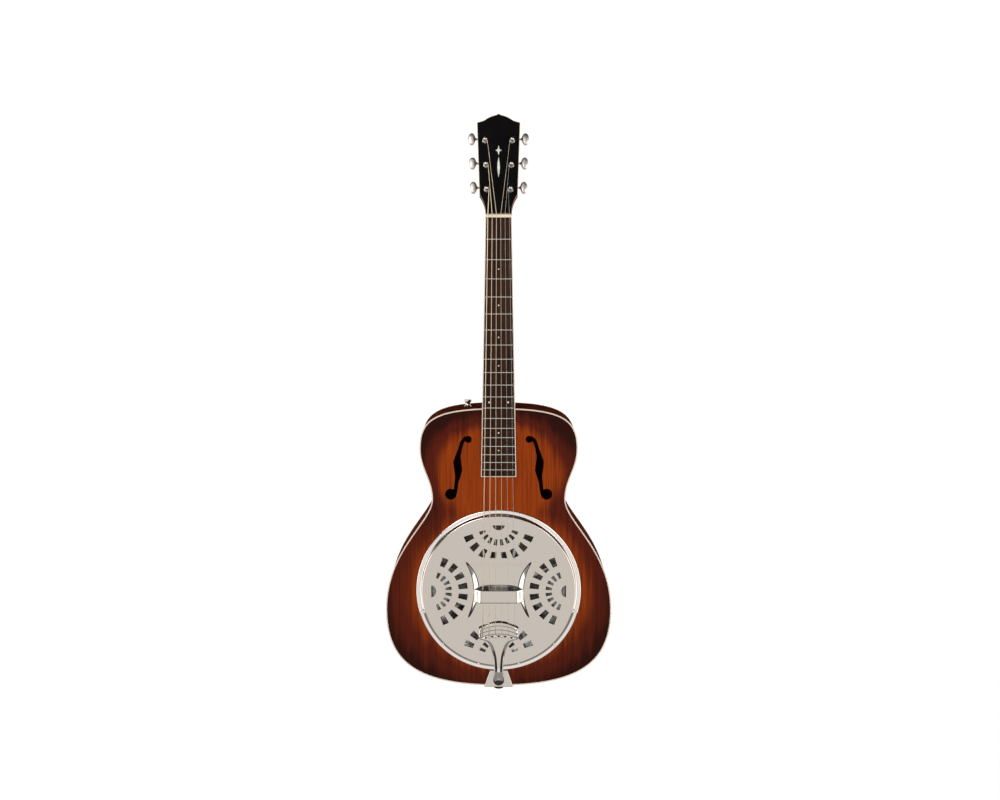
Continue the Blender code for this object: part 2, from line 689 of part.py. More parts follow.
def make_tailpiece():
    head_top = CONE_Z - TAIL_HEAD_TOP
    head_end = head_top - TAIL_HEAD_LENGTH
    rim = CONE_Z - COVER_RADIUS
    front = TAIL_HEAD_HEIGHT
    foot = BODY_TAIL_Z + TAIL_FOOT_MARGIN
    foot_height = GAP + BRACKET_THICKNESS + GAP
    stations = ((head_top, front, TAIL_HEAD_WIDTH * 0.93, TAIL_HEAD_ARCH),
                (head_top - TAIL_HEAD_LENGTH * 0.45, front, TAIL_HEAD_WIDTH, TAIL_HEAD_ARCH * 0.8),
                (head_end, front, TAIL_HEAD_WIDTH * 0.8, TAIL_HEAD_ARCH * 0.5),
                (head_end - TAIL_NECK_RUN, front, TAIL_HEAD_WIDTH * 0.5, 0),
                ((head_end - TAIL_NECK_RUN + rim) / 2, front, TAIL_WAIST_WIDTH * 1.12, 0),
                (rim + TAIL_RIM_MARGIN, front, TAIL_WAIST_WIDTH, 0),
                (rim - TAIL_RIM_MARGIN, front * 0.7 + foot_height * 0.3, TAIL_WAIST_WIDTH * 1.1, 0),
                (foot, foot_height, TAIL_FOOT_WIDTH, 0))

    def place(u, v):
        z, height, width, arch = stations[round(v * (len(stations) - 1))]
        return Vector((u * width / 2, -height, z - arch * u * u))
    add_part("tailpiece", sheet(8, len(stations) - 1, place, TAIL_THICKNESS), "polished_chrome")
    upper = rim - GAP
    tail = BODY_TAIL_Z - GAP
    bend = (-GAP - BRACKET_THICKNESS, tail - BRACKET_THICKNESS)
    side = [(-GAP, upper), (-GAP, tail), (BRACKET_FLAP, tail), (BRACKET_FLAP, bend[1]), bend,
            (bend[0], upper)]
    bracket = flat_plate([side], -0.5, 0.5)
    bracket.transform(Matrix(((0, -1, 0, 0), (1, 0, 0, 0), (0, 0, 1, 0), (0, 0, 0, 1))))

    def flare(p):
        share = min(1, (upper - p.z) / (upper - tail))
        width = BRACKET_UPPER_WIDTH + (BRACKET_LOWER_WIDTH - BRACKET_UPPER_WIDTH) * share
        return Vector((p.x * width, p.y, p.z))
    add_part("tailpiece_bracket", shifted(bracket, flare), "polished_chrome")
    seat = tail - BRACKET_THICKNESS - GAP
    down = Matrix.Translation((0, END_BUTTON_DROP, seat)) @ Matrix.Rotation(pi, 4, "X")
    make_strap_button("end_button", down, END_BUTTON_RADIUS, END_BUTTON_LENGTH, "black_metal")
    upper_seat = edge_drop(STRAP_BUTTON_OFFSET - STRAP_BUTTON_RADIUS, 0, at_tail=False) + GAP
    up = Matrix.Translation((-STRAP_BUTTON_OFFSET, NECK_END_DEPTH / 2, upper_seat))
    make_strap_button("strap_button", up, STRAP_BUTTON_RADIUS, STRAP_BUTTON_LENGTH, "polished_chrome")


def make_strap_button(name, matrix, radius, length, finish):
    """A waisted button whose base is at the local origin and whose flat end faces local +Z."""
    profile = [(0, length), (radius * 0.8, length), (radius, length * 0.85), (radius, length * 0.72),
               (radius * 0.55, length * 0.5), (radius * 0.62, length * 0.2), (radius * 0.9, 0), (0, 0)]
    add_part(name, turned(profile, 20, matrix=Matrix()), finish, matrix=matrix)


def fret_place(number):
    return SCALE_LENGTH * (1 - 2 ** (-number / 12))


def board_half(s):
    return (NUT_WIDTH + (BOARD_END_WIDTH - NUT_WIDTH) * s / BOARD_LENGTH) / 2


def head_half(z):
    """Half the headstock's width at a height along its face."""
    flare = min(1, max(0, z / HEAD_FLARE_END))
    low = NUT_WIDTH / 2 + (HEAD_LOW_HALF - NUT_WIDTH / 2) * flare ** 2.2
    corner = HEAD_LENGTH - HEAD_CORNER_DROP
    share = min(1, max(0, (z - HEAD_FLARE_END) / (corner - HEAD_FLARE_END)))
    return low + (HEAD_TOP_HALF - HEAD_LOW_HALF) * share


def head_outline(bottom):
    """The headstock's outline on its face: a flare, straight edges and a peaked crown."""
    flare = [HEAD_FLARE_END * share for share in (0, 0.3, 0.5, 0.7, 0.85, 1)]
    corner = HEAD_LENGTH - HEAD_CORNER_DROP
    right = [(head_half(z), z) for z in [bottom] + [z for z in flare if z > bottom] + [corner]]
    right += [(HEAD_TOP_HALF * share, HEAD_LENGTH - drop) for share, drop in HEAD_CROWN]
    return right + [(0, HEAD_LENGTH)] + [(-x, z) for x, z in reversed(right)]


def make_neck():
    heel_end = BODY_TOP_Z + GAP
    heel_run = -NECK_HEEL_START - heel_end
    sides = 12

    def section(z, depth):
        half = board_half(max(0, -z))
        return [Vector((half * cos(pi * i / sides), depth * sin(pi * i / sides) ** NECK_FULLNESS, z))
                for i in range(sides + 1)]
    plain = [(HEAD_START - HEAD_OVERLAP, NECK_DEPTH), (0, NECK_DEPTH),
             (-NECK_HEEL_START / 2, NECK_DEPTH * 1.08), (-NECK_HEEL_START, NECK_DEPTH * 1.2)]
    heel = [(-NECK_HEEL_START - heel_run * share,
             NECK_DEPTH * 1.2 + (NECK_HEEL_DEPTH - NECK_DEPTH * 1.2) * share ** 1.6)
            for share in (0.3, 0.55, 0.78, 1)]
    neck = add_part("neck", loft([section(z, depth) for z, depth in plain + heel]), "mahogany_dark")
    plank = flat_plate([head_outline(-HEAD_START)], VENEER_THICKNESS + GAP, HEAD_BACK)
    plank.transform(HEAD_FRAME)
    boolean(neck, add_cutter("headstock_plank", plank), "UNION")
    slot_depth = 2 * TRUSS_ROD_RADIUS + 2 * GAP
    slot_half = TRUSS_ROD_RADIUS + GAP
    rod_end = heel_end + NECK_BLOCK_LENGTH / 4
    channel = box((-slot_half, -slot_depth, rod_end - GAP), (slot_half, slot_depth, -TRUSS_ROD_START + GAP))
    boolean(neck, add_cutter("truss_channel", channel), "DIFFERENCE")
    truss = rod(TRUSS_ROD_RADIUS, (0, slot_half, rod_end), (0, slot_half, -TRUSS_ROD_START), 12)
    add_part("truss_rod", truss, "steel")
    for i, (x, z) in enumerate(post_places()):
        hole = rod(POST_RADIUS + RUNNING_GAP, (x, -CUT_REACH, z), (x, CUT_REACH, z), 16)
        hole.transform(HEAD_FRAME)
        boolean(neck, add_cutter(f"post_hole_{i + 1}", hole), "DIFFERENCE")
    veneer = flat_plate([head_outline(GAP)], 0, VENEER_THICKNESS)
    face = add_part("headstock_veneer", veneer, "black_lacquer", matrix=HEAD_FRAME)
    for i in range(STRING_COUNT):
        boolean(face, bpy.data.objects[f"post_hole_{i + 1}"], "DIFFERENCE")
    nut = box((-NUT_WIDTH / 2, -NUT_HEIGHT, 0), (NUT_WIDTH / 2, -GAP, NUT_THICKNESS))
    add_part("nut", nut, "bone")


def make_fretboard():
    inner_end = BOARD_LENGTH - BOARD_BINDING - GAP
    surface = -BOARD_THICKNESS
    crown = surface - FRET_HEIGHT
    side = [(-GAP, -GAP), (surface, -GAP)]
    for number in range(1, FRET_COUNT + 1):
        s = fret_place(number)
        side += [(surface, -s + FRET_FOOT / 2), (crown, -s + FRET_CROWN / 2),
                 (crown, -s - FRET_CROWN / 2), (surface, -s - FRET_FOOT / 2)]
    side += [(surface, -inner_end), (-GAP, -inner_end)]
    board = flat_plate([side], -0.5, 0.5)
    board.transform(Matrix(((0, -1, 0, 0), (1, 0, 0, 0), (0, 0, 1, 0), (0, 0, 0, 1))))
    inset = BOARD_BINDING + GAP
    shifted(board, lambda p: Vector((p.x * 2 * (board_half(-p.z) - inset), p.y, p.z)))
    add_part("fretboard", board, "rosewood")
    start, end = GAP, BOARD_LENGTH
    inner = end - BOARD_BINDING
    right = [(board_half(start), -start), (board_half(end), -end)]
    rebate = [(board_half(inner) - BOARD_BINDING, -inner), (board_half(start) - BOARD_BINDING, -start)]
    edge = right + [(-x, z) for x, z in reversed(right)] + [(-x, z) for x, z in reversed(rebate)] + rebate
    add_part("fretboard_binding", flat_plate([edge], surface, -GAP), "cream_binding")


def post_places():
    """Posts in string order: up the bass side, then down the treble side."""
    bass = [(-(head_half(z) - POST_EDGE_DISTANCE), z) for z in POST_STATIONS]
    return bass + [(-x, z) for x, z in reversed(bass)]


def gear_outline():
    """Teeth with a gap centred towards local +Z."""
    tip = GEAR_PITCH_RADIUS + GEAR_TOOTH_DEPTH * 0.45
    root = GEAR_PITCH_RADIUS - GEAR_TOOTH_DEPTH * 0.55
    pitch = 2 * pi / GEAR_TEETH
    points = []
    for i in range(GEAR_TEETH):
        middle = pi / 2 + pitch * (i + 0.5)
        for radius, share in ((root, -0.23), (tip, -0.10), (tip, 0.10), (root, 0.23)):
            angle = middle + pitch * share
            points.append((radius * cos(angle), radius * sin(angle)))
    return points


def worm_radius(turn, along):
    """The thread's radius at an angle about the shaft and a distance along it."""
    share = along / WORM_LEAD - (turn + pi / 2) / (2 * pi)
    thread = (0.5 + 0.5 * cos(2 * pi * share)) ** 3
    return WORM_ROOT_RADIUS + (WORM_CREST_RADIUS - WORM_ROOT_RADIUS) * thread


def worm_mesh(side, inner, outer):
    """A threaded shaft along local X, with its thread about x = 0."""
    half = WORM_THREAD_LENGTH / 2
    count = round(WORM_THREAD_LENGTH / WORM_LEAD * 5)
    stations = [(-half + WORM_THREAD_LENGTH * i / count, True) for i in range(count + 1)]
    stations = [(inner, False), (-half - GAP, False)] + stations + [(half + GAP, False), (outer, False)]
    rings = []
    for along, threaded in stations:
        x = along if side > 0 else -along
        ring = []
        for i in range(WORM_SIDES):
            turn = 2 * pi * i / WORM_SIDES
            radius = worm_radius(turn, x) if threaded else SHAFT_RADIUS
            ring.append(Vector((x, radius * cos(turn), radius * sin(turn))))
        rings.append(ring)
    return loft(rings)


def button_mesh(side):
    """An oval button along local X from its neck at x = 0."""
    profile = ((0, 0.22), (0.12, 0.30), (0.25, 0.72), (0.5, 1.0), (0.75, 0.92), (0.92, 0.6), (1, 0.22))
    sides = 12
    rings = []
    for share, swell in profile:
        x = side * BUTTON_LENGTH * share
        rings.append([Vector((x, BUTTON_DEPTH / 2 * max(swell, 0.5) * cos(2 * pi * i / sides),
                              BUTTON_HEIGHT / 2 * swell * sin(2 * pi * i / sides))) for i in range(sides)])
    return loft(rings)


def post_mesh():
    """The string post along local Z: collar and gear seat behind, waisted head in front."""
    gear_front = GEAR_MIDDLE - GEAR_THICKNESS / 2
    plate_back = HEAD_BACK + GAP + PLATE_THICKNESS
    end = GEAR_MIDDLE + GEAR_THICKNESS / 2 + GAP
    profile = [(0, POST_HEIGHT), (POST_RADIUS * 0.8, POST_HEIGHT), (POST_RADIUS, POST_HEIGHT * 0.93),
               (POST_RADIUS, POST_HEIGHT * 0.72), (POST_WAIST_RADIUS, POST_HEIGHT * 0.6),
               (POST_WAIST_RADIUS, POST_HEIGHT * 0.26), (POST_RADIUS, POST_HEIGHT * 0.16),
               (POST_RADIUS, -plate_back - GAP), (POST_COLLAR_RADIUS, -plate_back - GAP),
               (POST_COLLAR_RADIUS, -gear_front + GAP), (POST_RADIUS, -gear_front + GAP),
               (POST_RADIUS, -end), (0, -end)]
    return turned(profile, 12)


def plate_mesh():
    """The machine's base plate with two lugs that carry the worm shaft."""
    front = HEAD_BACK + GAP
    low = -PLATE_LENGTH / 2 + WORM_RISE / 2
    plate = box((-PLATE_WIDTH / 2, front, low),
                (PLATE_WIDTH / 2, front + PLATE_THICKNESS, low + PLATE_LENGTH))
    part = add_cutter("plate", plate)
    lug_top = GEAR_MIDDLE + SHAFT_RADIUS + LUG_COVER
    tools = []
    for end in (-1, 1):
        near = end * (WORM_THREAD_LENGTH / 2 + RUNNING_GAP)
        far = near + end * LUG_THICKNESS
        lug = box((min(near, far), front + PLATE_THICKNESS / 2, WORM_RISE - LUG_BELOW),
                  (max(near, far), lug_top, WORM_RISE + LUG_ABOVE))
        tools.append(add_cutter("lug", lug))
        boolean(part, tools[-1], "UNION")
    bore = rod(SHAFT_RADIUS + RUNNING_GAP, (-CUT_REACH, GEAR_MIDDLE, WORM_RISE),
               (CUT_REACH, GEAR_MIDDLE, WORM_RISE), 12)
    hole = rod(POST_RADIUS + RUNNING_GAP, (0, 0, 0), (0, CUT_REACH, 0), 14)
    for mesh in (bore, hole):
        tools.append(add_cutter("bore", mesh))
        boolean(part, tools[-1], "DIFFERENCE")
    made = baked(part)
    for tool in tools:
        bpy.data.objects.remove(tool, do_unlink=True)
    return made


def make_tuners():
    gear_hole = POST_RADIUS + GAP
    gear_mesh = flat_plate([gear_outline(), circle(gear_hole, 0, 0, 12)],
                           GEAR_MIDDLE - GEAR_THICKNESS / 2, GEAR_MIDDLE + GEAR_THICKNESS / 2)
    post = post_mesh()
    plates = plate_mesh()
    buttons = {side: button_mesh(side) for side in (-1, 1)}
    inner = -(WORM_THREAD_LENGTH / 2 + RUNNING_GAP + LUG_THICKNESS + SHAFT_END)
    for i, (x, z) in enumerate(post_places()):
        side = -1 if x < 0 else 1
        reach = head_half(z) - abs(x) + BUTTON_STANDOFF
        post_axis = bpy.data.objects.new(f"post_axis_{i + 1}", None)
        worm_axis = bpy.data.objects.new(f"worm_axis_{i + 1}", None)
        for axis, height, rise in ((post_axis, 0, 0), (worm_axis, GEAR_MIDDLE, WORM_RISE)):
            PARTS.objects.link(axis)
            axis.matrix_world = HEAD_FRAME @ Matrix.Translation((x, height, z + rise))
        number = i + 1
        add_part(f"tuner_plate_{number}", plates.copy(), "nickel", post_axis)
        add_part(f"tuner_gear_{number}", gear_mesh.copy(), "nickel", post_axis)
        add_part(f"string_post_{number}", post.copy(), "nickel", post_axis)
        add_part(f"worm_shaft_{number}", worm_mesh(side, inner, reach), "nickel", worm_axis)
        place = Matrix.Translation((side * (reach + GAP), 0, 0))
        add_part(f"tuner_button_{number}", buttons[side].copy(), "nickel", worm_axis, place)


def string_route(index):
    """A string from the tailpiece over the saddle and the nut to its turns round the post."""
    radius = STRING_DIAMETERS[index] / 2
    share = index / (STRING_COUNT - 1) - 0.5
    tail_y = -(TAIL_HEAD_HEIGHT + TAIL_THICKNESS + GAP + radius)
    head_top = CONE_Z - TAIL_HEAD_TOP
    lift = GAP + radius
    route = [Vector((TAIL_SPREAD * share, tail_y, head_top - TAIL_HEAD_LENGTH * 0.75)),
             Vector((TAIL_SPREAD * share, tail_y, head_top - TAIL_HEAD_LENGTH * 0.1)),
             Vector((SADDLE_SPREAD * share, -SADDLE_HEIGHT - lift, SADDLE_Z - SADDLE_THICKNESS / 2)),
             Vector((SADDLE_SPREAD * share, -SADDLE_HEIGHT - lift, SADDLE_Z + SADDLE_THICKNESS / 2)),
             Vector((NUT_SPREAD * share, -NUT_HEIGHT - lift, 0)),
             Vector((NUT_SPREAD * share, -NUT_HEIGHT - lift, NUT_THICKNESS))]
    x, z = post_places()[index]
    side = -1 if x < 0 else 1
    coil = POST_RADIUS + GAP + radius
    pitch = 2 * radius + WINDING_SELF_GAP
    steps = round(WINDING_TURNS * WINDING_STEPS)
    for i in range(steps + 1):
        turn = 2 * pi * i / WINDING_STEPS
        height = WINDING_HEIGHT + pitch * (steps / 2 - i) / WINDING_STEPS
        spot = Vector((x - side * coil * cos(turn), -height, z + coil * sin(turn)))
        route.append(HEAD_FRAME @ spot)
    return route, radius


def least_self_gap(route, radius):
    """The least clear distance between stretches of the route that aren't neighbours."""
    apart = WINDING_STEPS // 2
    count = len(route)
    spans = ((route[i] - route[j]).length for i in range(count) for j in range(i + apart, count))
    return min(spans) - 2 * radius


def make_strings():
    for index in range(STRING_COUNT):
        route, radius = string_route(index)
        print(f"string {index + 1}: least gap to itself {least_self_gap(route, radius) * 1000:.2f} mm")
        curve = bpy.data.curves.new(f"string_{index + 1}", "CURVE")
        curve.dimensions = "3D"
        curve.bevel_depth = radius
        curve.bevel_resolution = 1
        curve.use_fill_caps = True
        spline = curve.splines.new("POLY")
        spline.points.add(len(route) - 1)
        for spot, place in zip(spline.points, route):
            spot.co = (*place, 1)
        string = bpy.data.objects.new(f"string_{index + 1}", curve)
        curve.materials.append(material("wound_bronze" if index < 4 else "plain_steel"))
        PARTS.objects.link(string)


clear_scene()
PARTS = new_collection("resonator_guitar")
CUTTERS = new_collection("cutters")
make_body()
make_resonator()
make_coverplate()
make_tailpiece()
make_neck()
make_fretboard()
make_tuners()
make_strings()
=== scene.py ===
from math import cos, hypot, pi, radians, sin, sqrt

import bmesh
import bpy
from bpy.props import FloatProperty, FloatVectorProperty, IntProperty, PointerProperty
from mathutils import Matrix, Vector


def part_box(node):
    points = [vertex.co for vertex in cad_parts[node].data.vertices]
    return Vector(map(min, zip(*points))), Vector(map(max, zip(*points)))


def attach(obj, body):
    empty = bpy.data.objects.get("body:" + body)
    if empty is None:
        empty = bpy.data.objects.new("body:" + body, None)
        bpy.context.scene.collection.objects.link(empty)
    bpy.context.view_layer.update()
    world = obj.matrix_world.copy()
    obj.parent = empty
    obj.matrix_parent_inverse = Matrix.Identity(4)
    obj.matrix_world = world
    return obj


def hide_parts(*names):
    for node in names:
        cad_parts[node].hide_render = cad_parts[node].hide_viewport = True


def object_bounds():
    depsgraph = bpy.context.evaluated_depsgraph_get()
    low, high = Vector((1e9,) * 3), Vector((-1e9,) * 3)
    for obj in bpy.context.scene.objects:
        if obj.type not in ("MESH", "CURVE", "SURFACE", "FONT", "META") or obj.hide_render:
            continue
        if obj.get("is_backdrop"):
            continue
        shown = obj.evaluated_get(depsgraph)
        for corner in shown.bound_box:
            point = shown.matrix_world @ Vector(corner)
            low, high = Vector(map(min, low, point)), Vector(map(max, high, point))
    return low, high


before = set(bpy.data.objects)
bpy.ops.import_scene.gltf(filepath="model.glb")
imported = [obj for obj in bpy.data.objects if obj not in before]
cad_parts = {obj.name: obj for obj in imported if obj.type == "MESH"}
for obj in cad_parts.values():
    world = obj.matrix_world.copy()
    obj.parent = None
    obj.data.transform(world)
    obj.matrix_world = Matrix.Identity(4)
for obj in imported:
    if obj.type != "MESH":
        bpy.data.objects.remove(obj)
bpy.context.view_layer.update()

bl_info = {
    "name": "Resonator guitar",
    "version": (1, 0, 0),
    "blender": (4, 5, 0),
    "location": "View3D > Sidebar > Guitar",
    "description": "Builds the look of a wooden resonator guitar on its solid parts",
    "category": "Object",
}

# Sizes shared with the solid parts, in metres
GAP = 0.0003
SCALE_LENGTH = 0.645
BODY_TOP_Z = -0.324
BODY_TAIL_Z = -0.8175
BODY_LENGTH = BODY_TOP_Z - BODY_TAIL_Z
UPPER_BOUT = (0.1365, BODY_TOP_Z - 0.071)
WAIST = (0.1158, BODY_TOP_Z - 0.159)
LOWER_BOUT = (0.1974, BODY_TOP_Z - 0.357)
TOP_HANDLE = 0.112
SHOULDER_HANDLE = 0.051
UPPER_WAIST_HANDLE = 0.035
LOWER_WAIST_HANDLE = 0.040
HIP_HANDLE = 0.108
CHEEK_HANDLE = 0.095
TAIL_HANDLE = 0.143
NECK_END_DEPTH = 0.088
TAIL_END_DEPTH = 0.100
TOP_THICKNESS = 0.004
BACK_THICKNESS = 0.004
SIDE_THICKNESS = 0.004
UPPER_EYE = (0.0525, BODY_TOP_Z - 0.054)
UPPER_EYE_RADIUS = 0.0062
LOWER_EYE = (0.0830, BODY_TOP_Z - 0.150)
LOWER_EYE_RADIUS = 0.0098
STEM_HALF_WIDTH = 0.0033
STEM_NOTCH = 0.0052
STEM_UPPER_BEND = 0.021
STEM_LOWER_BEND = (0.0088, 0.014)
CONE_Z = -SCALE_LENGTH
CONE_OPENING_RADIUS = 0.131
CONE_THICKNESS = 0.0008
COVER_RADIUS = 0.1435
COVER_TOP = 0.0060
COVER_RISE = 0.0045
COVER_THICKNESS = 0.0012
COVER_FLANGE = 0.006
COVER_STEP = 0.005
FAN_DISTANCE = 0.1175
FAN_SLOTS = 8
FAN_PITCH = radians(19)
FAN_SLOT_ANGLE = radians(10)
FAN_ROWS = ((0.0250, 0.0360), (0.0480, 0.0640))
HALF_MOON_RADIUS = 0.0105
HALF_MOON_DEPTH = 0.0085
HUMP_WALL = 0.013
HUMP_HEIGHT = 0.0040
SLOT_HALF = 0.0445
SLOT_LOWER = 0.013
SLOT_LOWER_SHARE = 0.86
TAIL_HEAD_TOP = CONE_Z - 0.055
TAIL_HEAD_END = TAIL_HEAD_TOP - 0.030
TAIL_HEAD_HEIGHT = 0.0095
TAIL_THICKNESS = 0.0022
TAIL_SPREAD = 0.056
STRING_COUNT = 6
NUT_WIDTH = 0.0445
BOARD_SURFACE = 0.006
BOARD_LENGTH = 0.44266
BOARD_END_WIDTH = 0.0610
BOARD_BINDING = 0.0015
FRET_COUNT = 19
NECK_DEPTH = 0.0155
NECK_HEEL_START = 0.262
NECK_HEEL_DEPTH = 0.072
NECK_FULLNESS = 0.7
HEAD_TILT = radians(14)
HEAD_START = 0.006
HEAD_LENGTH = 0.1750
HEAD_TOP_HALF = 0.0366
HEAD_LOW_HALF = 0.0322
HEAD_FLARE_END = 0.033
HEAD_CORNER_DROP = 0.0160
HEAD_CROWN = ((0.96, 0.0152), (0.70, 0.0122), (0.48, 0.0072), (0.30, 0.0042), (0.12, 0.0022))
VENEER_THICKNESS = 0.0015
HEAD_BACK = 0.0148
POST_STATIONS = (0.042, 0.0847, 0.1275)
POST_EDGE_DISTANCE = 0.0126
POST_HOLE_RADIUS = 0.0034
GEAR_MIDDLE = 0.0200
WORM_RISE = 0.0090
BUTTON_STANDOFF = 0.0019
PLATE_BACK = 0.0163

# Sizes of the look alone, in metres
HUMP_DISH_RADIUS = 0.100
HUMP_DISH_PLACE = 0.1452
HUMP_HALF_LENGTH = 0.060
HUMP_SINK = 0.0002
HUMP_LOWER_RUN = 0.030
SLOT_UPPER = 0.0125
SLOT_REACH = 0.045
HAND_REST_UPPER = 0.0040
HAND_REST_WIDTH = 0.0225
HAND_REST_HALF_SPAN = 0.0433
HAND_REST_FLAT = 0.0300
HAND_REST_HEIGHT = 0.01745
HAND_REST_ROLL = 0.0005
TAIL_NOSE_Z = BODY_TAIL_Z + 0.0125
TAIL_WALL = 0.0016
TAIL_EDGE_ROUND = 0.0010
TAIL_STEM_START = 0.026
TAIL_STEM_RUN = 0.010
TAIL_STEM_CROWN = 0.0019
TAIL_STEM_RIM = 0.0055
RIBBED_LENGTH = 0.023
RIB_PITCH = 0.0072
HOOK_ROW_Z = TAIL_HEAD_END + 0.0058
HOOK_ROW_ARCH = 0.004
# Where along the guitar the dark dome of painted shade sits, in the hole under the tailpiece's nose
HOLE_SHADE_Z = BODY_TAIL_Z + 0.0104
NECK_BLEND = 0.060
INLAY_MIDDLE = 0.092
FERRULE_BORE = 0.0036
MACHINE_SCREW_PLACES = (-0.0096, 0.0178)
HANGING_HEIGHT = 1.4
CAMERA_PLACE = (0.00235, -2.0627, -0.0563)
WELD_DISTANCE = 1e-6

# Shares, angles and powers of the look alone
HUMP_LOWER_SHARE = 0.55
HUMP_LEAST_WALL = 0.6
NECK_SQUARE = 0.15
CAMERA_TILT = radians(83)
ROOM_STRENGTH = 2.0

# Frets that the position dots stand before, with a dot's metres from the middle
POSITION_DOTS = ((3, 0), (5, 0), (7, 0), (9, 0), (12, -0.0163), (12, 0.0163), (15, 0), (17, 0))

# Turned profiles: metres out from the axis and up along it
CONE_LINE = (
    (0, -0.0307), (0.0175, -0.0322), (0.034, -0.0384), (0.047, -0.0452), (0.050, -0.0457),
    (0.054, -0.0447), (0.085, -0.0300), (0.116, -0.0155), (0.120, -0.0137), (0.129, -0.0137))
HOOK_DOME = ((0, 0.0024), (0.0010, 0.0023), (0.0019, 0.0017), (0.0022, 0.0008), (0.0022, -0.0020),
             (0, -0.0020))
# The next two are dark discs of painted shade: one in each notch between the string hooks, one in the
# hole under the tailpiece's nose
NOTCH_SHADE_DISC = ((0, 0.0004), (0.0014, 0.0003), (0.0017, 0.0), (0.0017, -0.001), (0, -0.001))
HOLE_SHADE_DOME = ((0, 0.0042), (0.0060, 0.0040), (0.0088, 0.0031), (0.0096, 0.0022), (0.0096, 0.0015),
             (0, 0.0015))
MACHINE_SCREW = ((0, 0.0004), (0.0004, 0.0004), (0.0006, 0.0009), (0.0011, 0.0007), (0.0015, 0.0),
                 (0, 0.0))

# Turned profiles whose first numbers are shares of a radius
COVER_SCREW = ((0, 0.0005), (0.28, 0.0005), (0.36, 0.0011), (0.7, 0.0010), (0.95, 0.0005), (1, -0.0002),
               (0, -0.0002))
DOT_DISC = ((0, 0.00016), (0.8, 0.00014), (1, 0), (1, -0.0008), (0, -0.0008))
FERRULE_ROUND = ((0.86, 0.0016), (0.97, 0.0012), (1, 0.0005), (1, 0.0))

# Turned profiles in shares of a radius and a length
STRAP_BUTTON = ((0, 1), (0.62, 1), (0.85, 0.97), (0.97, 0.89), (1, 0.8), (0.96, 0.71), (0.66, 0.57),
                (0.55, 0.44), (0.60, 0.22), (0.74, 0.08), (0.9, 0), (0, 0))
TUNER_BUTTON = ((0.17, 0), (0.19, 0.08), (0.30, 0.15), (0.58, 0.22), (0.82, 0.32), (0.96, 0.44),
                (1.0, 0.56), (0.97, 0.68), (0.85, 0.80), (0.65, 0.90), (0.42, 0.96), (0.14, 1))

HEAD_FRAME = Matrix.Translation((0, 0, HEAD_START)) @ Matrix.Rotation(-HEAD_TILT, 4, "X")
FACING_FRONT = Matrix.Rotation(radians(90), 4, "X")
AT_CONE = Matrix.Translation((0, 0, CONE_Z)) @ FACING_FRONT


def colour_setting(name, description, default):
    return FloatVectorProperty(
        name=name, description=description, default=default, subtype="COLOR", size=3, min=0, max=1)


def length_setting(name, description, default):
    return FloatProperty(name=name, description=description, default=default, unit="LENGTH")


class BodyLook(bpy.types.PropertyGroup):
    burst_centre: colour_setting("Burst centre", "Amber of the lacquer's middle", (0.318, 0.046, 0.003))
    burst_middle: colour_setting("Burst middle", "Red-brown of the fade", (0.098, 0.0115, 0.004))
    burst_edge: colour_setting("Burst edge", "Dark lacquer along the body's edge", (0.026, 0.004, 0.002))
    binding_colour: colour_setting("Binding", "Cream of the edge strips", (0.86, 0.69, 0.56))
    binding_width: length_setting("Binding width", "Width of the edge strips seen from the front", 0.0022)
    eye_segments: IntProperty(
        name="Eye segments", description="Sides of the sound holes' round ends", default=40, min=12)


class PlateLook(bpy.types.PropertyGroup):
    chrome: colour_setting("Chrome", "Tint of the polished plate", (0.69, 0.633, 0.578))
    # Painted highlight: the flange is tinted brighter than the rest of the same pressed chrome plate
    flange_highlight: colour_setting("Flange highlight", "Brighter tint of the plate's flange", (0.93, 0.88, 0.84))
    screw_count: IntProperty(
        name="Screws", description="Number of screws round the coverplate's flange", default=12, min=3)
    screw_radius: length_setting("Screw radius", "Radius of a flange screw's head", 0.0021)
    rib_depth: length_setting("Rib depth", "Depth of the grooves between the tailpiece's ribs", 0.0006)


class NeckLook(bpy.types.PropertyGroup):
    board_colour: colour_setting("Fretboard", "Brown of the fretboard's wood", (0.050, 0.019, 0.009))
    fret_radius: length_setting("Fret radius", "Half the width of a fret wire", 0.0011)
    dot_radius: length_setting("Dot radius", "Radius of a position dot", 0.0015)
    edge_line: length_setting("Headstock edge", "Width of the line round the headstock's face", 0.0008)
    inlay_length: length_setting("Inlay length", "Length of the pearl inlay on the headstock", 0.060)


class TunerLook(bpy.types.PropertyGroup):
    nickel: colour_setting("Nickel", "Tint of the tuning machines", (0.60, 0.575, 0.54))
    ferrule_radius: length_setting("Ferrule radius", "Outer radius of the rings round the posts", 0.0049)
    button_height: length_setting("Button height", "Height of an oval tuner button", 0.0212)
    button_length: length_setting("Button length", "Length of a tuner button along its shaft", 0.0150)
    button_depth: length_setting("Button depth", "Thickness of a tuner button", 0.0090)


class StageLook(bpy.types.PropertyGroup):
    # A painted glow: the floor and backdrop give off their own light, which also lights the guitar and
    # hides any shadow
    floor_glow: FloatProperty(
        name="Floor glow", description="Brightness of the pale floor and backdrop",
        default=0.97, min=0, max=1)
    # Painted shade: the glowing floor is dimmed under and before the guitar so that the chrome reflects
    # dark lines
    front_shade: FloatProperty(
        name="Front shade", description="How much darker the floor is under and before the guitar",
        default=0.70, min=0, max=1)
    key_power: FloatProperty(
        name="Key light", description="Power of the large soft light", default=38, unit="POWER")
    fill_power: FloatProperty(
        name="Fill light", description="Power of the softer side light", default=18, unit="POWER")
    lens: FloatProperty(
        name="Lens", description="Focal length in millimetres", default=43.64, min=1)


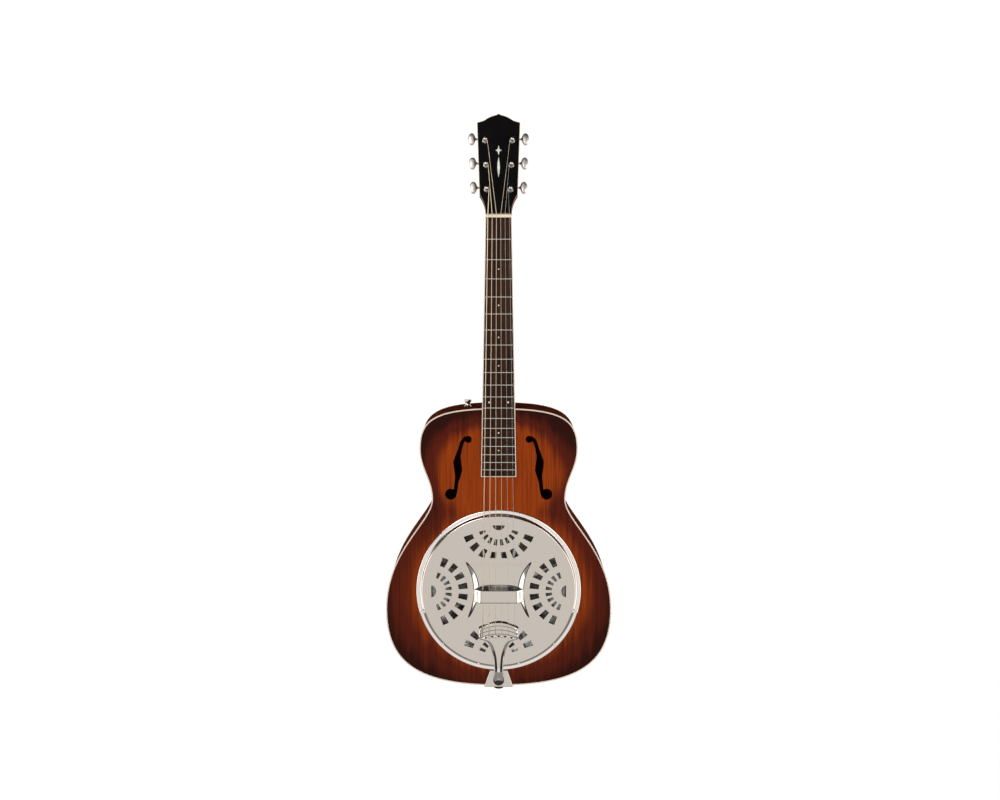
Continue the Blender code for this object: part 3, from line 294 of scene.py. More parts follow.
class Shade:
    """A shader value: operators add Math nodes, and node() adds any other node."""

    def __init__(self, socket):
        self.socket = socket

    def node(self, kind, settings, inputs, output=0):
        made = self.socket.id_data.nodes.new(kind)
        for name, value in settings.items():
            setattr(made, name, value)
        feed(made, inputs)
        return Shade(made.outputs[output])

    def maths(self, operation, *values):
        return self.node("ShaderNodeMath", {"operation": operation}, dict(enumerate(values)))

    def __add__(self, other):
        return self.maths("ADD", self, other)

    def __radd__(self, other):
        return self.maths("ADD", other, self)

    def __sub__(self, other):
        return self.maths("SUBTRACT", self, other)

    def __rsub__(self, other):
        return self.maths("SUBTRACT", other, self)

    def __mul__(self, other):
        return self.maths("MULTIPLY", self, other)

    def __rmul__(self, other):
        return self.maths("MULTIPLY", other, self)

    def __truediv__(self, other):
        return self.maths("DIVIDE", self, other)


def feed(node, values):
    """Links or sets the inputs of a node."""
    for key, value in values.items():
        if isinstance(value, Shade):
            node.id_data.links.new(value.socket, node.inputs[key])
        else:
            node.inputs[key].default_value = value


def part_of(place, axis):
    return place.node("ShaderNodeSeparateXYZ", {}, {0: place}, axis)


def noise(place, stretch, detail=3.0):
    """Cloudy noise from 0 to 1, with its own number of waves per metre along each axis."""
    stretched = place.node("ShaderNodeVectorMath", {"operation": "MULTIPLY"}, {0: place, 1: stretch})
    return place.node("ShaderNodeTexNoise", {}, {"Vector": stretched, "Scale": 1.0, "Detail": detail})


def fade(value, low, high):
    """0 below low, 1 above high, with a soft step between."""
    return value.node("ShaderNodeMapRange", {"interpolation_type": "SMOOTHSTEP"},
                      {"Value": value, "From Min": low, "From Max": high})


def mixed(share, low, high):
    """A colour between two others, which may be fixed or vary."""
    fixed = [c if isinstance(c, Shade) else (*c, 1) for c in (low, high)]
    return share.node("ShaderNodeMix", {"data_type": "RGBA"}, {0: share, 6: fixed[0], 7: fixed[1]}, 2)


def bumped(value, strength, distance):
    return value.node(
        "ShaderNodeBump", {}, {"Strength": strength, "Distance": distance, "Height": value})


def oval(place, centre_z, half_width, half_length):
    """Distance from an oval's middle in the plane of the top, 1 on its edge."""
    across = part_of(place, 0) / half_width
    along = (part_of(place, 2) - centre_z) / half_length
    squared = across * across + along * along
    return squared.maths("SQRT", squared)


def sunburst(place):
    look = bpy.context.scene.guitar_body
    upper = oval(place, -0.438, 0.138, 0.112)
    lower = oval(place, -0.640, 0.198, 0.185)
    edge = upper.maths("SMOOTH_MIN", upper, lower, 0.25)
    streaks = noise(place, (90, 90, 5))
    cloud = noise(place, (14, 14, 6), 2.0)
    edge = edge + (streaks - 0.5) * 0.30 + (cloud - 0.5) * 0.16
    colour = mixed(fade(edge, 0.68, 0.87), look.burst_centre, look.burst_middle)
    colour = mixed(fade(edge, 0.88, 1.04), colour, look.burst_edge)
    grain = noise(place, (380, 380, 7), 2.0)
    colour = mixed(fade(grain, 0.42, 0.68) * 0.42, colour, look.burst_edge)
    pores = noise(place, (900, 900, 30), 2.0)
    colour = mixed(fade(pores, 0.52, 0.72) * 0.3, colour, (0.03, 0.008, 0.004))
    return {"Base Color": colour, "Roughness": 0.24 + pores * 0.05, "Specular IOR Level": 0.06,
            "Normal": bumped(pores, 0.05, 0.0003)}


def dark_mahogany(place):
    streaks = noise(place, (80, 80, 6))
    pores = noise(place, (800, 800, 30), 2.0)
    colour = mixed(fade(streaks, 0.3, 0.7), (0.045, 0.009, 0.005), (0.115, 0.021, 0.007))
    colour = mixed(fade(pores, 0.52, 0.72) * 0.5, colour, (0.022, 0.006, 0.004))
    return {"Base Color": colour, "Roughness": 0.42 + pores * 0.05, "Specular IOR Level": 0.0,
            "Normal": bumped(pores, 0.05, 0.0003)}


def rosewood(place):
    look = bpy.context.scene.guitar_neck
    streaks = noise(place, (260, 260, 9))
    pores = noise(place, (1500, 1500, 60), 2.0)
    colour = mixed(fade(streaks, 0.35, 0.65), (0.022, 0.010, 0.007), look.board_colour)
    colour = mixed(fade(pores, 0.55, 0.7) * 0.6, colour, (0.012, 0.006, 0.004))
    return {"Base Color": colour, "Roughness": 0.42 + pores * 0.15, "Specular IOR Level": 0.06,
            "Normal": bumped(pores, 0.15, 0.0002)}


def cloudy(low, high, waves, rough, sway, detail=2.0, steps=None, bump=0.0, **others):
    """A finish between two colours in a pattern that its gloss follows a little."""
    def recipe(place):
        cloud = noise(place, waves, detail)
        share = fade(cloud, *steps) if steps else cloud
        values = {"Base Color": mixed(share, low, high), "Roughness": rough + cloud * sway, **others}
        if bump:
            values["Normal"] = bumped(cloud, bump, 0.0003)
        return values
    return recipe


def metal(colour, dull, clear, waves):
    """A polished or drawn metal."""
    return cloudy([c * 0.95 for c in colour], colour, waves, clear, dull - clear, Metallic=1.0)


def cream_plastic(place):
    colour = tuple(bpy.context.scene.guitar_body.binding_colour)
    return cloudy([c * 0.86 for c in colour], colour, (60, 60, 60), 0.32, 0.08)(place)


def polished_chrome(place):
    look = bpy.context.scene.guitar_plate
    smear = noise(place, (22, 22, 22), 2.0)
    rim = COVER_RADIUS - COVER_FLANGE
    reach = oval(place, CONE_Z, 1, 1)
    beyond = fade(reach, COVER_RADIUS, COVER_RADIUS + 0.001)
    # Painted highlight: the flange ring is tinted brighter than the rest of the plate
    flange = fade(reach, rim - 0.0004, rim + 0.0006) * (1 - beyond)
    return {"Base Color": mixed(flange, look.chrome, look.flange_highlight), "Roughness": 0.05 + smear * 0.06,
            "Metallic": 1.0}


def nickel(place):
    return metal(tuple(bpy.context.scene.guitar_tuners.nickel), 0.30, 0.18, (120, 120, 120))(place)


FINISHES = {
    "mahogany_sunburst": sunburst,
    "mahogany_dark": dark_mahogany,
    "bare_wood": cloudy((0.26, 0.14, 0.06), (0.46, 0.29, 0.15), (120, 120, 8), 0.6, 0.15, 3.0, bump=0.1),
    "tan_wood": cloudy((0.30, 0.17, 0.07), (0.50, 0.33, 0.16), (120, 120, 10), 0.3, 0.1, 3.0),
    "rosewood": rosewood,
    "cream_binding": cream_plastic,
    "bone": cloudy((0.74, 0.62, 0.48), (0.92, 0.80, 0.66), (300, 300, 40), 0.4, 0.1, 3.0),
    "pearl": cloudy((0.62, 0.64, 0.60), (0.90, 0.88, 0.84), (260, 260, 160), 0.16, 0.12,
                    steps=(0.35, 0.65), **{"Coat Weight": 0.4}),
    "black_lacquer": cloudy((0.003, 0.003, 0.003), (0.006, 0.005, 0.005), (30, 30, 30), 0.13, 0.05,
                            **{"Specular IOR Level": 0.1}),
    # Black metal of the end button, also used for the dark discs of painted shade on the tailpiece
    "black_metal": cloudy((0.004, 0.004, 0.005), (0.014, 0.014, 0.015), (90, 90, 90), 0.25, 0.12),
    "polished_chrome": polished_chrome,
    "nickel": nickel,
    "spun_aluminium": metal((0.55, 0.55, 0.54), 0.42, 0.26, (15, 15, 15)),
    "steel": metal((0.40, 0.40, 0.41), 0.45, 0.30, (200, 200, 20)),
    "plain_steel": metal((0.58, 0.57, 0.55), 0.48, 0.38, (300, 300, 40)),
    "wound_bronze": metal((0.70, 0.57, 0.42), 0.45, 0.32, (900, 900, 900)),
    "satin_nickel": metal((0.74, 0.68, 0.64), 0.42, 0.32, (90, 90, 90)),
    "fret_wire": metal((0.78, 0.77, 0.74), 0.30, 0.16, (200, 200, 200)),
}


def new_material(name):
    """A material, its shader and the place on a piece that its recipe reads."""
    made = bpy.data.materials.new(name)
    made.use_nodes = True
    nodes = made.node_tree.nodes
    return made, nodes["Principled BSDF"], Shade(nodes.new("ShaderNodeTexCoord").outputs["Object"])


def finish(name):
    """The named procedural finish, made once."""
    made = bpy.data.materials.get("finish_" + name)
    if not made:
        made, shader, place = new_material("finish_" + name)
        feed(shader, FINISHES[name](place))
    return made


def meshed(name, bm):
    mesh = bpy.data.meshes.new(name)
    bm.to_mesh(mesh)
    bm.free()
    return mesh


def put(name, data):
    """A new object in the scene."""
    thing = bpy.data.objects.new(name, data)
    bpy.context.scene.collection.objects.link(thing)
    return thing


def finished(name, bm, look, nodes=(), body="guitar", wall=0.0, bevel=0.0, sharp=35):
    """Makes a bmesh a piece that rides on a body and stands for the named nodes."""
    bmesh.ops.remove_doubles(bm, verts=bm.verts, dist=WELD_DISTANCE)
    if not bm.faces:
        raise RuntimeError(f"{name} has no faces")
    mesh = meshed(name, bm)
    mesh.materials.clear()
    mesh.materials.append(finish(look))
    mesh.shade_smooth()
    mesh.set_sharp_from_angle(angle=radians(sharp))
    piece = put(name, mesh)
    if wall:
        thick = piece.modifiers.new("Wall", "SOLIDIFY")
        thick.thickness = wall
        thick.offset = -1
        thick.use_even_offset = True
    if bevel:
        edge = piece.modifiers.new("Edges", "BEVEL")
        edge.width = bevel
        edge.segments = 2
        edge.limit_method = "ANGLE"
        edge.angle_limit = radians(40)
        edge.harden_normals = True
    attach(piece, body)
    if nodes:
        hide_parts(*nodes)
    return piece


def carried(node, look, body="guitar", bevel=0.0, sharp=35):
    """A welded copy of a solid part, smoothly shaded, in its real finish."""
    bm = bmesh.new()
    bm.from_mesh(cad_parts[node].data)
    return finished(f"{node}_finished", bm, look, [node], body, bevel=bevel, sharp=sharp)


def placed(bm, matrix):
    bmesh.ops.transform(bm, matrix=matrix, verts=bm.verts)
    return bm


def joined(into, bm, matrix=Matrix()):
    """Adds a placed bmesh to another one."""
    mesh = meshed("joined", bm)
    mesh.transform(matrix)
    into.from_mesh(mesh)
    bpy.data.meshes.remove(mesh)
    return into


def plate(loops, front, back, ring=False):
    """Outlines of (x, z) points, filled at the front depth and drawn back to another depth."""
    bm = bmesh.new()
    edges = []
    for points in loops:
        spots = [bm.verts.new((x, front(z) if callable(front) else front, z)) for x, z in points]
        edges += [bm.edges.new((spots[i - 1], spots[i])) for i in range(len(spots))]
    if ring:
        bmesh.ops.bridge_loops(bm, edges=edges)
    else:
        bmesh.ops.triangle_fill(bm, use_beauty=True, use_dissolve=False, edges=edges)
    drawn = bmesh.ops.extrude_face_region(bm, geom=bm.faces[:])
    for spot in drawn["geom"]:
        if isinstance(spot, bmesh.types.BMVert):
            spot.co.y = back(spot.co.z) if callable(back) else back
    bmesh.ops.recalc_face_normals(bm, faces=bm.faces)
    return bm


def spun(profile, steps, matrix=AT_CONE):
    """A profile of (radius, height) points turned about the local Z axis and placed."""
    bm = bmesh.new()
    spots = [bm.verts.new((r, 0, h)) for r, h in profile]
    for start, end in zip(spots, spots[1:]):
        bm.edges.new((start, end))
    bmesh.ops.spin(bm, geom=bm.verts[:] + bm.edges[:], cent=(0, 0, 0), axis=(0, 0, 1), angle=2 * pi,
                   steps=steps, use_merge=True, use_duplicate=False)
    bmesh.ops.remove_doubles(bm, verts=bm.verts, dist=WELD_DISTANCE)
    bmesh.ops.recalc_face_normals(bm, faces=bm.faces)
    return placed(bm, matrix)


def lofted(rings):
    """A closed shell through rings of points, bridged one after another."""
    bm = bmesh.new()
    loops = []
    for ring in rings:
        spots = [bm.verts.new(point) for point in ring]
        loops.append([bm.edges.new((spots[i - 1], spots[i])) for i in range(len(spots))])
    for low, high in zip(loops, loops[1:]):
        bmesh.ops.bridge_loops(bm, edges=low + high)
    for end in (loops[0], loops[-1]):
        bmesh.ops.contextual_create(bm, geom=end)
    bmesh.ops.recalc_face_normals(bm, faces=bm.faces)
    return bm


def turned_row(name, profile, steps, look, spots, facing=FACING_FRONT):
    """One piece of many small turned ones, with a copy at each placed spot."""
    row = bmesh.new()
    for spot in spots:
        joined(row, spun(profile, steps, facing), spot)
    finished(name, row, look)


def bent_grid(columns, rows, place):
    """A grid whose (u, v) in -1..1 and 0..1 are placed by a function, facing the front."""
    bm = bmesh.new()
    bmesh.ops.create_grid(bm, x_segments=columns, y_segments=rows, size=1)
    for spot in bm.verts:
        spot.co = place(spot.co.x, (spot.co.y + 1) / 2)
    bmesh.ops.recalc_face_normals(bm, faces=bm.faces)
    if sum(face.normal.y * face.calc_area() for face in bm.faces) > 0:
        bmesh.ops.reverse_faces(bm, faces=bm.faces)
    return bm


def cut(bm, tools):
    """The bmesh with the shape of each tool taken out of it."""
    blank = put("blank", meshed("blank", bm))
    knives = [put("knife", meshed("knife", tool)) for tool in tools]
    for knife in knives:
        step = blank.modifiers.new("Cut", "BOOLEAN")
        step.operation = "DIFFERENCE"
        step.solver = "EXACT"
        step.object = knife
    bpy.context.view_layer.update()
    evaluated = blank.evaluated_get(bpy.context.evaluated_depsgraph_get())
    mesh = bpy.data.meshes.new_from_object(evaluated)
    made = bmesh.new()
    made.from_mesh(mesh)
    bpy.data.meshes.remove(mesh)
    for thing in [blank] + knives:
        bpy.data.objects.remove(thing, do_unlink=True)
    return made


def smooth_step(t):
    t = min(1.0, max(0.0, t))
    return t * t * (3 - 2 * t)


def circle(radius, x, z, count):
    return [(x + radius * cos(2 * pi * i / count), z + radius * sin(2 * pi * i / count))
            for i in range(count)]


def bezier(start, leave, arrive, end, count):
    """Points along one cubic stretch, without its last point."""
    spots = []
    for i in range(count):
        t = i / count
        shares = ((1 - t) ** 3, 3 * t * (1 - t) ** 2, 3 * t * t * (1 - t), t ** 3)
        spots.append(tuple(sum(w * p[k] for w, p in zip(shares, (start, leave, arrive, end)))
                           for k in (0, 1)))
    return spots


def above(spot, rise):
    """The point straight above another one, or below it where the rise is negative."""
    return spot[0], spot[1] + rise


def to_the_right(before, after):
    """The unit direction to the right of the way from one point to another."""
    run = hypot(after[0] - before[0], after[1] - before[1])
    return (after[1] - before[1]) / run, (before[0] - after[0]) / run


def drawn_in(loop, inset):
    """A closed outline moved by an inset to the right of its own way."""
    inside = []
    for i, (x, z) in enumerate(loop):
        right = to_the_right(loop[i - 1], loop[(i + 1) % len(loop)])
        inside.append((x + inset * right[0], z + inset * right[1]))
    return inside


def body_outline(inset=0.0):
    """The body's outline seen from the front, drawn in by an inset."""
    top, tail = (0, BODY_TOP_Z), (0, BODY_TAIL_Z)
    upper_waist, lower_waist = above(WAIST, UPPER_WAIST_HANDLE), above(WAIST, -LOWER_WAIST_HANDLE)
    half = bezier(top, (TOP_HANDLE, BODY_TOP_Z), above(UPPER_BOUT, SHOULDER_HANDLE), UPPER_BOUT, 30)
    half += bezier(UPPER_BOUT, above(UPPER_BOUT, -UPPER_WAIST_HANDLE), upper_waist, WAIST, 22)
    half += bezier(WAIST, lower_waist, above(LOWER_BOUT, HIP_HANDLE), LOWER_BOUT, 30)
    half += bezier(LOWER_BOUT, above(LOWER_BOUT, -CHEEK_HANDLE), (TAIL_HANDLE, BODY_TAIL_Z), tail, 36)
    half.append(tail)
    return drawn_in(half + [(-x, z) for x, z in reversed(half[1:-1])], inset)


def back_face(z):
    """The depth of the body's back, which tapers towards the neck."""
    return NECK_END_DEPTH + (TAIL_END_DEPTH - NECK_END_DEPTH) * (BODY_TOP_Z - z) / BODY_LENGTH


def back_inside(z):
    return back_face(z) - BACK_THICKNESS


def sound_hole(side, segments):
    """The stem and the two round eyes of one sound hole, as three cutting shapes."""
    upper, lower = [(side * x, z) for x, z in (UPPER_EYE, LOWER_EYE)]
    start = (upper[0] + side * UPPER_EYE_RADIUS * 0.2, upper[1] + UPPER_EYE_RADIUS * 0.45)
    end = (lower[0] - side * LOWER_EYE_RADIUS * 0.55, lower[1] - LOWER_EYE_RADIUS * 0.35)
    leave = (start[0] + side * STEM_UPPER_BEND, start[1])
    arrive = (end[0] - side * STEM_LOWER_BEND[0], end[1] + STEM_LOWER_BEND[1])
    line = bezier(start, leave, arrive, end, 42) + [end]

    def edge(direction, notch_place):
        spots = []
        for i, (x, z) in enumerate(line):
            right = to_the_right(line[max(i - 1, 0)], line[min(i + 1, len(line) - 1)])
            notch = max(0, 1 - abs(i / (len(line) - 1) - notch_place) * 6)
            width = direction * (STEM_HALF_WIDTH + STEM_NOTCH * notch)
            spots.append((x + right[0] * width, z + right[1] * width))
        return spots
    shapes = [edge(-side, 0.48) + edge(side, 0.57)[::-1], circle(UPPER_EYE_RADIUS, *upper, segments),
              circle(LOWER_EYE_RADIUS, *lower, segments)]
    return [plate([shape], -0.01, 0.02) for shape in shapes]


class GUITAR_OT_top(bpy.types.Operator):
    """Makes the sunburst top with its cone opening and two sound holes"""
    bl_idname = "guitar.top"
    bl_label = "Body top"

    def execute(self, context):
        look = context.scene.guitar_body
        edge = body_outline(look.binding_width + GAP / 3)
        board = plate([edge, circle(CONE_OPENING_RADIUS, 0, CONE_Z, 96)], 0, TOP_THICKNESS)
        tools = sound_hole(-1, look.eye_segments) + sound_hole(1, look.eye_segments)
        finished("top_board", cut(board, tools), "mahogany_sunburst", ["body_top"])
        return {"FINISHED"}


class GUITAR_OT_shell(bpy.types.Operator):
    """Makes the body's sides, back, edge strips and inner blocks"""
    bl_idname = "guitar.shell"
    bl_label = "Body shell"

    def execute(self, context):
        width = context.scene.guitar_body.binding_width
        rear = plate([body_outline(width + GAP / 3)], back_face, back_inside)
        finished("back_board", rear, "mahogany_dark", ["body_back"])
        ring = [body_outline(GAP), body_outline(SIDE_THICKNESS)]
        sides = plate(ring, TOP_THICKNESS, back_inside, ring=True)
        finished("bent_sides", sides, "mahogany_dark", ["body_sides"], sharp=40)
        strip = [body_outline(), body_outline(width)]
        front = plate(strip, 0, TOP_THICKNESS, ring=True)
        finished("top_edge_strip", front, "cream_binding", ["top_binding"], bevel=0.0005)
        back = plate(strip, back_face, back_inside, ring=True)
        finished("back_edge_strip", back, "cream_binding", ["back_binding"], bevel=0.0005)
        for node in ("neck_block", "tail_block"):
            carried(node, "bare_wood", bevel=0.0008)
        return {"FINISHED"}


class GUITAR_OT_resonator(bpy.types.Operator):
    """Makes the spun cone, its soundwell, the spider bridge and the saddle"""
    bl_idname = "guitar.resonator"
    bl_label = "Resonator"

    def execute(self, context):
        shell = [(r, h + CONE_THICKNESS) for r, h in CONE_LINE] + list(reversed(CONE_LINE))
        finished("spun_cone", spun(shell, 96), "spun_aluminium", ["resonator_cone"])
        carried("soundwell", "bare_wood", sharp=30)
        carried("spider_bridge", "spun_aluminium", bevel=0.0005)
        carried("saddle", "bone", bevel=0.0006)
        carried("tension_screw", "steel", bevel=0.0003)
        return {"FINISHED"}


def fan_slots():
    """The cutting shapes of the four fans of slots with their half-moons."""
    shapes = []
    half = FAN_SLOT_ANGLE / 2
    for quarter in range(4):
        out = pi / 2 * quarter
        cx, cz = FAN_DISTANCE * cos(out), CONE_Z + FAN_DISTANCE * sin(out)
        for i in range(FAN_SLOTS):
            middle = out + pi + FAN_PITCH * (i - (FAN_SLOTS - 1) / 2)
            for near, far in FAN_ROWS:
                corners = ((near, -half), (far, -half), (far, 0), (far, half), (near, half), (near, 0))
                shapes.append([(cx + r * cos(middle + a), cz + r * sin(middle + a)) for r, a in corners])
        moon = []
        for i in range(21):
            a = pi * i / 20 - pi / 2
            depth, side = HALF_MOON_DEPTH * cos(a), HALF_MOON_RADIUS * sin(a)
            moon.append((cx - depth * cos(out) - side * sin(out),
                         cz - depth * sin(out) + side * cos(out)))
        shapes.append(moon)
    shapes.append(saddle_slot())
    return shapes


def slot_edge(x):
    """The upper and lower edges of the slot over the saddle at a distance from the centre line."""
    share = min(1.0, abs(x) / SLOT_HALF)
    upper = SLOT_UPPER * (1 - share ** 4)
    lower = SLOT_LOWER * min(1.0, (1 - share) / (1 - SLOT_LOWER_SHARE))
    return upper, -lower


def saddle_slot():
    xs = [SLOT_HALF * (i / 20 - 1) for i in range(41)]
    corner = SLOT_HALF * SLOT_LOWER_SHARE
    upper = [(x, CONE_Z + slot_edge(x)[0]) for x in xs]
    return upper + [(corner, CONE_Z - SLOT_LOWER), (-corner, CONE_Z - SLOT_LOWER)]


def hump_place(x_share, z):
    """A point of the raised middle between the dishes round the side fans."""
    edge = HUMP_DISH_PLACE - sqrt(HUMP_DISH_RADIUS ** 2 - z * z)
    lower = HUMP_LOWER_SHARE * smooth_step(-z / HUMP_LOWER_RUN)
    swell = (1 - (z / HUMP_HALF_LENGTH) ** 4) ** 2 * (1 - lower)
    wall = HUMP_WALL * max(HUMP_LEAST_WALL, swell ** 0.5)
    x = edge * abs(x_share)
    lift = (GAP + COVER_THICKNESS + HUMP_HEIGHT) * swell * smooth_step((edge - x) / wall)
    return Vector((x if x_share > 0 else -x, -(COVER_TOP - HUMP_SINK + lift), CONE_Z + z))


class GUITAR_OT_coverplate(bpy.types.Operator):
    """Makes the pressed coverplate with its fans of slots and flange screws"""
    bl_idname = "guitar.coverplate"
    bl_label = "Coverplate"

    def execute(self, context):
        look = context.scene.guitar_plate
        step = COVER_RADIUS - COVER_FLANGE
        inner = step - COVER_STEP
        low = GAP + COVER_THICKNESS
        line = [(0, COVER_TOP), (inner - 0.0025, COVER_TOP), (inner - 0.0008, COVER_TOP - 0.0001)]
        for i in range(9):
            share = i / 8
            line.append((inner + COVER_STEP * share, low + COVER_RISE * (1 - smooth_step(share))))
        line += [(step + 0.0008, low), (COVER_RADIUS - 0.0012, low)]
        line += [(COVER_RADIUS - 0.0004, low - 0.0002), (COVER_RADIUS, low - 0.0007)]
        under = [(COVER_RADIUS, GAP)] + [(r, h - COVER_THICKNESS) for r, h in reversed(line[:-3])]
        shell = spun(line + under, 144)
        tools = [plate([shape], -0.02, 0.01) for shape in fan_slots()]
        knife = tools[0]
        for tool in tools[1:]:
            joined(knife, tool)
        finished("pressed_coverplate", cut(shell, [knife]), "polished_chrome", ["coverplate"], sharp=38)
        profile = [(look.screw_radius * share, height) for share, height in COVER_SCREW]
        reach = COVER_RADIUS - COVER_FLANGE * 0.45
        angles = [2 * pi * (i + 0.5) / look.screw_count for i in range(look.screw_count)]
        spots = [Matrix.Translation((reach * cos(a), -low, CONE_Z + reach * sin(a))) for a in angles]
        turned_row("coverplate_screws", profile, 20, "polished_chrome", spots)
        return {"FINISHED"}


class GUITAR_OT_hand_rest(bpy.types.Operator):
    """Makes the raised middle of the coverplate and the hand rest over the saddle"""
    bl_idname = "guitar.hand_rest"
    bl_label = "Hand rest"

    def execute(self, context):
        def half(edge, end):
            """The raised middle from one edge of the slot to its own end."""
            def place(u, v):
                start = slot_edge(u * SLOT_REACH)[edge]
                return hump_place(u, start + (end - start) * v)
            return bent_grid(96, 40, place)
        bm = joined(half(0, HUMP_HALF_LENGTH), half(1, -HUMP_HALF_LENGTH))

        def arch(u, v):
            x = HAND_REST_HALF_SPAN * u
            z = HAND_REST_UPPER - HAND_REST_WIDTH * v
            base = COVER_TOP + GAP + COVER_THICKNESS
            roll = HAND_REST_ROLL * (smooth_step(1 - v / 0.12) + smooth_step((v - 0.88) / 0.12))
            rise = smooth_step((HAND_REST_HALF_SPAN - abs(x)) / (HAND_REST_HALF_SPAN - HAND_REST_FLAT))
            return Vector((x, -(base + (HAND_REST_HEIGHT - base - roll) * rise), CONE_Z + z))
        joined(bm, bent_grid(80, 24, arch))
        finished("raised_middle", bm, "polished_chrome", ["hand_rest"], wall=COVER_THICKNESS, sharp=60)
        return {"FINISHED"}


def between(stations, at):
    """A smooth curve through rows of numbers, read at a share of the first column's run."""
    count = len(stations) - 1
    i = min(int(at * count), count - 1)
    t = at * count - i
    rows = [stations[max(0, min(count, i + k))] for k in (-1, 0, 1, 2)]
    shares = (-0.5 * t + t * t - 0.5 * t ** 3, 1 - 2.5 * t * t + 1.5 * t ** 3,
              0.5 * t + 2 * t * t - 1.5 * t ** 3, -0.5 * t * t + 0.5 * t ** 3)
    return [sum(s * row[k] for s, row in zip(shares, rows)) for k in range(len(rows[0]))]


def tailpiece_stations():
    """Rows of height along the guitar, height off the top, width and arch, from the head to the nose."""
    head = ((0, 0.064, 0.010), (0.0075, 0.068, 0.009), (0.0150, 0.069, 0.008), (0.022, 0.067, 0.007),
            (0.028, 0.050, 0.004), (0.036, 0.036, 0.001), (0.048, 0.026, 0.0), (0.062, 0.019, 0.0))
    stem = ((0.010, TAIL_HEAD_HEIGHT, 0.0160, 0.0), (0, 0.0090, 0.0155, 0.0),
            (-0.006, 0.0078, 0.0178, 0.0), (-0.011, 0.0068, 0.0188, 0.0010))
    stations = [(TAIL_HEAD_TOP - down, TAIL_HEAD_HEIGHT, width, arch) for down, width, arch in head]
    stations += [(CONE_Z - COVER_RADIUS + rise, *row) for rise, *row in stem]
    return stations + [(TAIL_NOSE_Z, 0.0060, 0.0140, 0.0030)]


def hook_spots(shares):
    """Places in the arched row of string hooks on the tailpiece's head."""
    spots = []
    for share in shares:
        z = HOOK_ROW_Z - HOOK_ROW_ARCH * (2 * share) ** 2
        spots.append(Matrix.Translation((TAIL_SPREAD * share, -(TAIL_HEAD_HEIGHT + TAIL_THICKNESS), z)))
    return spots


class GUITAR_OT_tailpiece(bpy.types.Operator):
    """Makes the ribbed tailpiece, its string hooks, its bracket and the strap buttons, with dark discs of
    painted shade in its notches and in the hole under its nose
    """
    bl_idname = "guitar.tailpiece"
    bl_label = "Tailpiece"

    def execute(self, context):
        look = context.scene.guitar_plate
        stations = tailpiece_stations()

        def place(u, v):
            z, height, width, arch = between(stations, v)
            down = TAIL_HEAD_TOP - z
            groove = 0.0
            if down < RIBBED_LENGTH:
                groove = look.rib_depth * (0.5 + 0.5 * cos(2 * pi * down / RIB_PITCH))
            rim_share = max(0.0, 1 - width / 2 * (1 - abs(u)) / TAIL_STEM_RIM)
            crown = TAIL_STEM_CROWN * smooth_step((down - TAIL_STEM_START) / TAIL_STEM_RUN) * rim_share
            edge = TAIL_EDGE_ROUND * smooth_step((abs(u) - 0.9) / 0.1)
            lift = height + TAIL_THICKNESS - groove - crown - edge
            return Vector((u * width / 2, -lift, z - arch * u * u))
        shell = bent_grid(48, 120, place)
        finished("ribbed_tailpiece", shell, "polished_chrome", ["tailpiece"], wall=TAIL_WALL, sharp=60)
        gaps = STRING_COUNT - 1
        strings = [i / gaps - 0.5 for i in range(STRING_COUNT)]
        between_strings = [(i + 0.5) / gaps - 0.5 for i in range(gaps)]
        turned_row("string_hooks", HOOK_DOME, 24, "nickel", hook_spots(strings))
        # Dark discs of painted shade in the notches between the string hooks
        turned_row("string_notch_shade", NOTCH_SHADE_DISC, 20, "black_metal", hook_spots(between_strings))
        carried("tailpiece_bracket", "polished_chrome", bevel=0.0014)
        # A dark dome of painted shade in the hole under the tailpiece's nose
        spot = Matrix.Translation((0, 0, HOLE_SHADE_Z)) @ FACING_FRONT
        finished("tailpiece_hole_shade", spun(HOLE_SHADE_DOME, 48, spot), "black_metal")
        for node, look_name in (("end_button", "black_metal"), ("strap_button", "polished_chrome")):
            low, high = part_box(node)
            radius = (high.x - low.x) / 2
            length = high.z - low.z
            profile = [(radius * out, length * up) for out, up in STRAP_BUTTON]
            centre = (low + high) / 2
            if node == "end_button":
                spot = Matrix.Translation((centre.x, centre.y, high.z)) @ Matrix.Rotation(pi, 4, "X")
            else:
                spot = Matrix.Translation((centre.x, centre.y, low.z))
            finished(f"turned_{node}", spun(profile, 48, spot), look_name, [node])
        return {"FINISHED"}


def board_half(s):
    return (NUT_WIDTH + (BOARD_END_WIDTH - NUT_WIDTH) * s / BOARD_LENGTH) / 2


def fret_place(number):
    return SCALE_LENGTH * (1 - 2 ** (-number / 12))


def head_half(z):
    """Half the headstock's width at a height along its face."""
    flare = min(1, max(0, z / HEAD_FLARE_END))
    low = NUT_WIDTH / 2 + (HEAD_LOW_HALF - NUT_WIDTH / 2) * flare ** 2.2
    corner = HEAD_LENGTH - HEAD_CORNER_DROP
    share = min(1, max(0, (z - HEAD_FLARE_END) / (corner - HEAD_FLARE_END)))
    return low + (HEAD_TOP_HALF - HEAD_LOW_HALF) * share


def head_outline(bottom, inset=0.0):
    """The headstock's outline on its face: a flare, straight edges and a peaked crown."""
    corner = HEAD_LENGTH - HEAD_CORNER_DROP
    right = [(head_half(z), z) for z in [bottom] + [HEAD_FLARE_END * i / 16 for i in range(1, 17)]]
    right += [(head_half(z), z) for z in (0.06, 0.09, 0.12, corner - 0.004)]
    crown = [(HEAD_TOP_HALF, corner)]
    crown += [(HEAD_TOP_HALF * share, HEAD_LENGTH - drop) for share, drop in HEAD_CROWN]
    crown.append((0, HEAD_LENGTH))
    right += [tuple(between(crown, i / 30)) for i in range(30)]
    loop = right + [(0, HEAD_LENGTH)] + [(-x, z) for x, z in reversed(right)]
    return drawn_in(loop, -inset)


